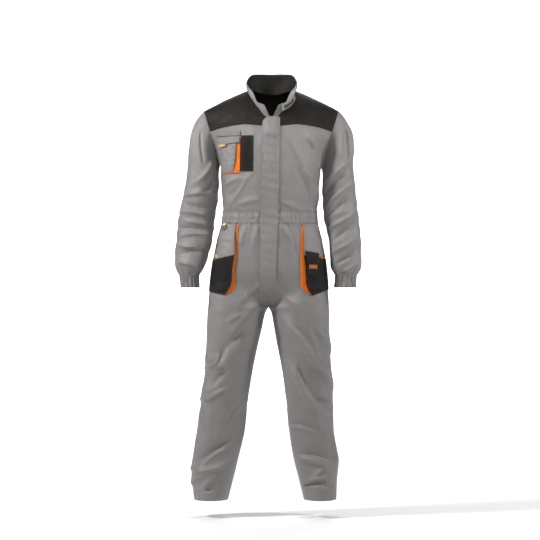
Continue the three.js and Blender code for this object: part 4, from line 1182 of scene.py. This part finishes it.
def armhole_point(side, around):
    around = around % 1.0
    up = np.abs(1 - 2 * around)
    one = np.ones_like(up)
    ahead, behind = upper_point(side, FRONT, one, up), upper_point(side, BACK, one, up)
    point = np.where((around <= 0.5)[..., None], ahead, behind)
    return point + np.array([side * 0.1 * MM, 0, 0])


def unit(vectors):
    return vectors / np.linalg.norm(vectors, axis=-1, keepdims=True)


def sleeve_panel(side):
    def point(s, t):
        s, t = np.broadcast_arrays(s, t)
        down = 2 * t
        tube = sleeve_ring(side, s, mix(CAP_END_Z, CUFF_TOP_Z, np.clip(down - 1, 0, 1)))
        start, end = armhole_point(side, s), sleeve_ring(side, s, CAP_END_Z + 0 * s)
        reach = np.linalg.norm(end - start, axis=-1, keepdims=True) * 0.36
        turn = 2 * np.pi * s
        outward = side * (0.3 + 0.4 * (1 + np.cos(turn)))
        out = np.stack([outward, -0.25 * np.sin(turn), -1 + 0 * s], axis=-1)
        below, above = (sleeve_ring(side, s, CAP_END_Z + step + 0 * s) for step in (-5, 5))
        last = unit(below - above)
        first_hand, second_hand = start + unit(out) * reach, end - last * reach
        u = np.clip(down, 0, 1)[..., None]
        cap = ((1 - u) ** 3 * start + 3 * (1 - u) ** 2 * u * first_hand
               + 3 * (1 - u) * u**2 * second_hand + u**3 * end)
        return np.where((down >= 1)[..., None], tube, cap)

    return point


def sleeve_height(side, point):
    def height(s, t):
        z = point(s, t)[..., 2] / MM
        total = 0.9 * np.cos(2 * np.pi * s) * ripple(s * 400, z, 80, 4.0 + side)
        total = total + 0.5 * np.cos(4 * np.pi * s) * ripple(s * 400, z, 33, 6.0)
        near_cuff = 1 - smooth_step(CUFF_TOP_Z, CUFF_TOP_Z + CUFF_REACH, z)
        gather = np.abs(np.sin(np.pi * CUFF_WAVES * s + 1.5 * np.sin(4 * np.pi * s)))
        total = total + 4.0 * near_cuff * (gather - 0.6)
        for start, end, wide, high, bend in SLEEVE_CREASES[side]:
            ends = [(ROUND * around, height_z) for around, height_z in (start, end)]
            total = total + crease(s * ROUND, z, *ends, wide, high, bend)
        return total * smooth_step(0, 0.04, t) * smooth_step(0, 0.02, 1 - t)

    return height


def cuff_panel(side):
    def point(s, t):
        z = mix(CUFF_TOP_Z - SEAM, CUFF_BOTTOM_Z, t)
        spot = sleeve_ring(side, s, z)
        middle = read_table(SLEEVES, SLEEVE_COLUMNS, "middle", z)
        core = np.stack([side * 287 + 0 * z, middle], axis=-1) * MM
        away = unit(np.concatenate([spot[..., :2] - core, 0 * spot[..., :1]], axis=-1))
        return spot + away * (GATHER_HIGH * MM * np.cos(2 * np.pi * CUFF_WAVES * s))[..., None]

    return point


def cuff_height(s, t):
    crimp = np.abs(np.sin(np.pi * 31 * s + 2 * np.sin(4 * np.pi * s) + 0.8 * np.sin(6 * t)))
    return 3.0 * (crimp - 0.7) * np.sin(np.pi * t) ** 0.5


for side, name in SIDES:
    point = sleeve_panel(side)
    piece = make_sheet(f"cloth_sleeve_{name}", point, 4.6, lift=sleeve_height(side, point),
                       core=(side * 262, 0), ring=True, sewn="low high")
    declare(piece, point, f"sleeve_{name}", "grey_twill")
    point = cuff_panel(side)
    piece = make_sheet(f"cloth_cuff_{name}", point, 2.4, DOUBLE, cuff_height, (side * 284, -40), True,
                       sewn="low high")
    declare(piece, point, f"cuff_{name}", "grey_twill", fullness=1.2)
print("sleeve cut:", flat_sizes["cloth_sleeve_right"])

# %% [markdown]
# ## Placket and zip
# A storm flap covers the zip. It carries two rows of stitching along each edge, and near its top it
# bridges the slider, so it stands a little further off. The zip is a pair of tapes with a chain of
# interlocked teeth.

# %% Placket
PLACKET_LIFT = 4.2


def placket_z(t):
    return mix(PLACKET[0][0], PLACKET[-1][0], t)


def placket_panel(s, t):
    z = placket_z(t)
    start, end = (read_table(PLACKET, PLACKET_COLUMNS, name, z) for name in ("start", "end"))
    return front_at(mix(start, end, s), z)


def placket_height(s, t):
    z = placket_z(t)
    over_zip = smooth_step(-190, -150, z) * (1 - smooth_step(0.5, 1, np.abs(2 * s - 1)))
    lift = PLACKET_LIFT + 7.5 * over_zip + 2 * (1 - smooth_step(-730, -690, z))
    edge_wave = 0.7 * ripple(s * 30, z, 46, 2.5) + 0.35 * np.sin(z / 5.1 + 2 * s)
    furrow = np.exp(-(((np.abs(2 * s - 1) - 0.72) / 0.07) ** 2))
    return lift + edge_wave - 0.7 * furrow


piece = make_sheet("cloth_placket", placket_panel, 3.2, DOUBLE, placket_height)
declare(piece, placket_panel, "placket", "grey_twill")
print("placket cut:", flat_sizes["cloth_placket"])


# %% Zip tapes and chain
def zip_tape(edge):
    def point(s, t):
        return front_at(edge * mix(ZIP["chain"], ZIP["tape"], s), mix(ZIP["bottom"], ZIP["top"], t))

    return point


TOOTH = (3.4, 2.4, 1.9)
TOOTH_SPACING = 2.6


def zip_chain():
    tooth_scale = Matrix.Diagonal([size * MM for size in TOOTH] + [1])
    heights = np.arange(ZIP["bottom"] + 2, ZIP["top"], TOOTH_SPACING)
    middle = front_at(0.0, heights)
    mesh = bmesh.new()
    for k, spot in enumerate(middle):
        side = 1 if k % 2 else -1
        tooth = bmesh.ops.create_cube(mesh, size=1, matrix=tooth_scale)
        shift = Vector(spot) + Vector((side * 0.6 * MM, 0.2 * MM, 0))
        bmesh.ops.translate(mesh, verts=tooth["verts"], vec=shift)
    bmesh.ops.bevel(mesh, geom=mesh.edges[:], offset=0.35 * MM, segments=1, profile=0.5,
                    affect="EDGES", material=-1)
    data = bpy.data.meshes.new("zip_teeth")
    mesh.to_mesh(data)
    mesh.free()
    teeth = bpy.data.objects.new("zip_teeth", data)
    bpy.context.scene.collection.objects.link(teeth)
    data.materials.append(materials["dark_metal"])
    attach(teeth, "suit")
    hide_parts("zip")
    return len(middle)


def tape_height(s, t):
    return -CLOTH - 2.6 + 1.2 * t


for edge, name in SIDES:
    point = zip_tape(edge)
    piece = make_sheet(f"cloth_zip_tape_{name}", point, 3, 0.9, tape_height, sewn="right")
    declare(piece, point, "zip", "zip_tape")
print("zip teeth:", zip_chain())

# %% [markdown]
# ## Pockets
# The pockets are laid on the fronts between two edges that run down. Their corners are distances
# from the middle line and heights. An orange gusset lets a pocket stand off at its inner edge,
# where a tool goes in. Each layer lies on the one below.

# %% Patches on the front
def along_edge(edge, t):
    keys = np.linspace(0, 1, len(edge))
    return [curve_through(keys, np.array([corner[k] for corner in edge], float), t) for k in (0, 1)]


def front_patch(side, inner, outer):
    def point(s, t):
        s, t = np.broadcast_arrays(s, t)
        (x0, z0), (x1, z1) = along_edge(inner, t), along_edge(outer, t)
        return front_at(side * mix(x0, x1, s), mix(z0, z1, s))

    return point


def patch(name, slot, side, inner, outer, lift, thick, sewn=EVERY_EDGE, size=22,
          wave=0.5, finish=None):
    point = front_patch(side, inner, outer)

    def height(s, t):
        calm = np.minimum(1, 6 * np.sqrt(np.clip(s * (1 - s) * t * (1 - t), 0, 1)))
        return lift(s, t) + wave * calm * ripple(s * 60, t * 120, size, len(name))

    piece = make_sheet(f"cloth_{name}", point, 2.4, thick, height, sewn=sewn)
    declare(piece, point, name, slot, finish=finish)


def sloping(inner, base):
    return lambda s, t: mix(inner, base, s) + 0 * t


ON_PANEL = 2.6
THIN = 1.2
patch("chest_gusset", "orange_twill", RIGHT, [(110, -174), (110, -298)], [(176, -174), (174, -303)],
      level(ON_PANEL + 0.8), THIN, sewn="low high")
patch("chest_pocket", "grey_twill", RIGHT, [(123, -174), (125, -246), (132, -294)],
      [(182, -174), (178, -246), (176, -299)],
      lambda s, t: 5.4 + 4 * np.sin(np.pi * t) * (1 - s), THIN, wave=0.9)
patch("chest_flap", "grey_twill", RIGHT, [(111, -166), (113, -189)], [(199, -168), (190, -197)],
      lambda s, t: 7.6 + 4.6 * (1 - s) * t, 1.4)
patch("chest_flap_band", "grey_twill", RIGHT, [(111, -146), (111, -164)], [(193, -144), (199, -166)],
      level(4), DOUBLE)
patch("chest_patch_pocket", "black_twill", RIGHT, [(64, -164), (63, -293)], [(107.8, -164), (107.8, -293)],
      level(3.3), 2)
patch("chest_flap_tab", "yellow_tape", RIGHT, [(158, -192), (158, -202)], [(184, -193), (184, -203)],
      lambda s, t: 12.7 - 3.4 * s + 0 * t, THIN, wave=0.2)
print("chest pocket cut:", flat_sizes["cloth_chest_pocket"])

# %% [markdown]
# ## Hip pockets
# The hip pockets hang from the waistband. Their grey tops and black lower halves bulge away from
# the body at the mouth, and the orange bellows shows beside them. The left one also carries a
# small black pocket with a flap and a plain label.

# %% Hip pockets
HIP_POCKETS = {
    "right": dict(
        side=RIGHT,
        gusset=[(112, -484), (116, -590), (123, -660), (123, -717), (158, -744)],
        gusset_outer=[(118, -484), (131, -590), (143, -660), (152, -712), (160, -736)],
        top=[(121, -484), (122, -540), (122, -595.4)],
        top_side=[(172, -484), (186, -540), (200, -613.4)],
        low=[(122, -596), (128, -640), (132, -688), (141, -718), (158, -740)],
        low_side=[(202, -614), (207, -650), (211, -690), (213, -715), (213, -728)],
    ),
    "left": dict(
        side=LEFT,
        gusset=[(115, -484), (110.6, -546), (111, -650), (115, -711), (152, -743)],
        gusset_outer=[(118, -484), (126, -546), (137, -650), (146, -704), (158, -734)],
        top=[(120, -484), (120, -545), (121, -596.4)],
        top_side=[(172, -484), (186, -540), (200, -609.4)],
        low=[(121, -597), (127, -640), (131, -690), (138, -720), (155, -743)],
        low_side=[(202, -610), (207, -650), (211, -690), (213, -712), (213, -722)],
    ),
}
GUSSET_RISE = 6.5


def gusset_lift(s, t):
    return ON_PANEL - 0.5 + GUSSET_RISE * s * np.sin(np.pi * np.clip(t * 0.93 + 0.02, 0, 1)) ** 0.7


def top_lift(s, t):
    return 4.8 + (GUSSET_RISE + 1) * (1 - s) ** 1.5 * smooth_step(0, 0.6, t) + 1.2 * t


def low_lift(s, t):
    return 5.4 + (GUSSET_RISE + 0.6) * (1 - s) ** 1.5 * (1 - smooth_step(0.75, 1, t))


def mouth_fold(side):
    def height(s, t):
        slant = np.exp(-(((s * 0.9 + t - 0.52) / 0.055) ** 2)) * smooth_step(0.9, 0.6, s)
        level_fold = np.exp(-(((t - 0.52 + 0.05 * s) / 0.05) ** 2)) * smooth_step(0, 0.2, s)
        return top_lift(s, t) + (1.6 * slant if side == RIGHT else 0) + 0.9 * level_fold

    return height


for name, cut in HIP_POCKETS.items():
    side = cut["side"]
    patch(f"hip_gusset_{name}", "orange_twill", side, cut["gusset"], cut["gusset_outer"],
          gusset_lift, THIN, sewn="right")
    patch(f"hip_pocket_top_{name}", "grey_twill", side, cut["top"], cut["top_side"],
          mouth_fold(side), THIN, sewn="left right high", wave=0.9, size=40)
    patch(f"hip_pocket_low_{name}", "black_twill", side, cut["low"], cut["low_side"],
          low_lift, 1.4, wave=0.8, size=50)
patch("hip_tab_right", "yellow_tape", RIGHT, [(178, -600), (180, -609)], [(192, -592), (194, -601)],
      sloping(8.9, 7.7), THIN, wave=0.1)
patch("hip_tab_left", "orange_twill", LEFT, [(180, -598), (181, -609)], [(193, -602), (194, -612)],
      sloping(9.4, 7.8), THIN, wave=0.1)
patch("phone_pocket", "black_twill", LEFT, [(132, -608), (132, -666)], [(172, -610), (172, -666)],
      sloping(15.2, 9.3), THIN, wave=0.3)
patch("phone_flap", "black_twill", LEFT, [(124, -582), (130, -621)], [(171, -590), (176, -624)],
      sloping(17.8, 11.8), THIN, wave=0.3)
patch("phone_label", "orange_twill", LEFT, [(138, -631), (138, -646)], [(167, -632), (167, -646)],
      sloping(16.8, 12), THIN, wave=0.05, finish="label_cloth")
print("pocket sheets:", sum("pocket" in name or "gusset" in name for name in flat_sizes))

# %% [markdown]
# ## Collar tab
# The placket's own end runs on past the zip as a tab. It lies open along the left collar, and the
# black hook strip on it would close the collar over the throat.

# %% Tab and hook strip
TAB_START, TAB_END = 0.96, 0.66
TAB_FALL = np.array([4, -17, -25]) * MM
TAB_OFF = np.array([0.5, -2.6, -1]) * MM


def tab_panel(s, t):
    s, t = np.broadcast_arrays(s, t)
    edge = collar_top_point(mix(TAB_START, TAB_END, s))
    return edge + TAB_OFF + TAB_FALL * (t * (1 - 0.25 * s))[..., None]


def strip_panel(s, t):
    return tab_panel(mix(1 / 7, 6 / 7, s), mix(0.34, 0.8, t))


def tab_height(s, t):
    return 0.4 * ripple(s * 60, t * 30, 30, 1.5)


piece = make_sheet("cloth_collar_tab", tab_panel, 2.4, 1.6, tab_height, NECK_CORE)
declare(piece, tab_panel, "collar_tab", "grey_twill")
piece = make_sheet("cloth_hook_strip", strip_panel, 2.4, 1.1, level(1.6), NECK_CORE)
declare(piece, strip_panel, "hook_strip", "hook_tape")
print("sheets in all:", len(flat_sizes))

# %% [markdown]
# ## Hard pieces
# The ring, its strap, the slider and its pull keep their CAD shapes. Small bevels catch the light
# on their edges.

# %% Ring, strap and slider
def dress_node(name, slot, finish, width):
    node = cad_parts[name]
    node.data.materials.clear()
    node.data.materials.append(materials[finish])
    soft_edges(node, width)


# name, slot, finish, width of its soft edges
HARD_PIECES = [
    ("zip_slider", "dark_metal", "dark_metal", 0.3),
    ("zip_pull", "dark_metal", "dark_metal", 0.25),
    ("tool_ring", "dark_metal", "dark_metal", 0.1),
    ("ring_strap", "yellow_tape", "strap_tape", 0.2),
]
for row in HARD_PIECES:
    dress_node(*row)
print("CAD nodes kept:", len(HARD_PIECES))

# %% [markdown]
# ## Stage, light and camera
# A soft light from the upper left and a weaker one from the right draw the folds from the side, and
# a narrow one in front lifts the chest. Three lights behind the suit keep the pale floor and
# backdrop white. The camera stands level with the suit's middle, eleven metres away with a long
# lens, so there is little perspective.

# %% Stage and light
FLOOR_Z = -1.55
STAGE_HALF = 13
BACKDROP_Y = 12.6
STAGE_COLOURS = ((0.86, 0.86, 0.86, 1), (0.9, 0.9, 0.9, 1))


def stage_material():
    material, n, surface = new_material("pale_stage")
    place = n.add("ShaderNodeTexCoord").outputs["Object"]
    n.link(n.mix_colour(n.noise(place, 0.8), *STAGE_COLOURS), surface.inputs["Base Color"])
    surface.inputs["Roughness"].default_value = 0.9
    return material


def stage_sheet(name, spot, turn):
    mesh = bmesh.new()
    bmesh.ops.create_grid(mesh, x_segments=1, y_segments=1, size=STAGE_HALF)
    bmesh.ops.rotate(mesh, verts=mesh.verts[:], matrix=Matrix.Rotation(turn, 3, "X"))
    bmesh.ops.translate(mesh, verts=mesh.verts[:], vec=Vector(spot))
    data = bpy.data.meshes.new(name)
    mesh.to_mesh(data)
    mesh.free()
    data.materials.append(stage_finish)
    sheet = bpy.data.objects.new(name, data)
    bpy.context.scene.collection.objects.link(sheet)


def add_light(name, spot, aim, power, size, spread=math.pi):
    lamp = bpy.data.lights.new(name, "AREA")
    lamp.energy, lamp.size, lamp.spread = power, size, spread
    light = bpy.data.objects.new(name, lamp)
    light.location = spot
    light.visible_camera = False
    light.rotation_euler = (Vector(aim) - Vector(spot)).to_track_quat("-Z", "Y").to_euler()
    bpy.context.scene.collection.objects.link(light)


stage_finish = stage_material()
stage_sheet("floor", (0, 0, FLOOR_Z), 0)
stage_sheet("backdrop", (0, BACKDROP_Y, 0), math.pi / 2)
add_light("key", (-2.3, -1.2, 1.4), (0, 0, -0.4), 120, 0.4)
add_light("side", (2.5, -0.9, 0.8), (0, 0, -0.4), 56, 0.4)
add_light("front", (0.6, -2.4, 0.6), (0.05, 0, -0.2), 1.3, 0.5, math.radians(40))
add_light("top", (0.2, 2.2, 3.0), (0, 2.4, -1.5), 70, 2.0)
add_light("floor_light", (0, 7.0, 2.2), (0, 7.01, -1.55), 420, 5.0)
add_light("backdrop_light", (0, 8.6, 0.4), (0, 12.6, 0.2), 380, 4.0)
world = bpy.data.worlds.new("soft_room")
bpy.context.scene.world = world
world.use_nodes = True
room = world.node_tree.nodes["Background"]
room.inputs["Color"].default_value = (0.95, 0.97, 1.0, 1)
room.inputs["Strength"].default_value = 0.08
print("floor at", FLOOR_Z, "m")

# %% Camera
eye = bpy.data.cameras.new("camera")
# millimetres
eye.sensor_width = 36
eye.lens = 200.9
camera = bpy.data.objects.new("camera", eye)
camera.location = (0.002, -11.0, -0.65)
camera.rotation_euler = (math.pi / 2, 0, 0)
bpy.context.scene.collection.objects.link(camera)
bpy.context.scene.camera = camera
bpy.context.scene.view_settings.view_transform = "Standard"
print("camera at", tuple(round(value, 3) for value in camera.location))
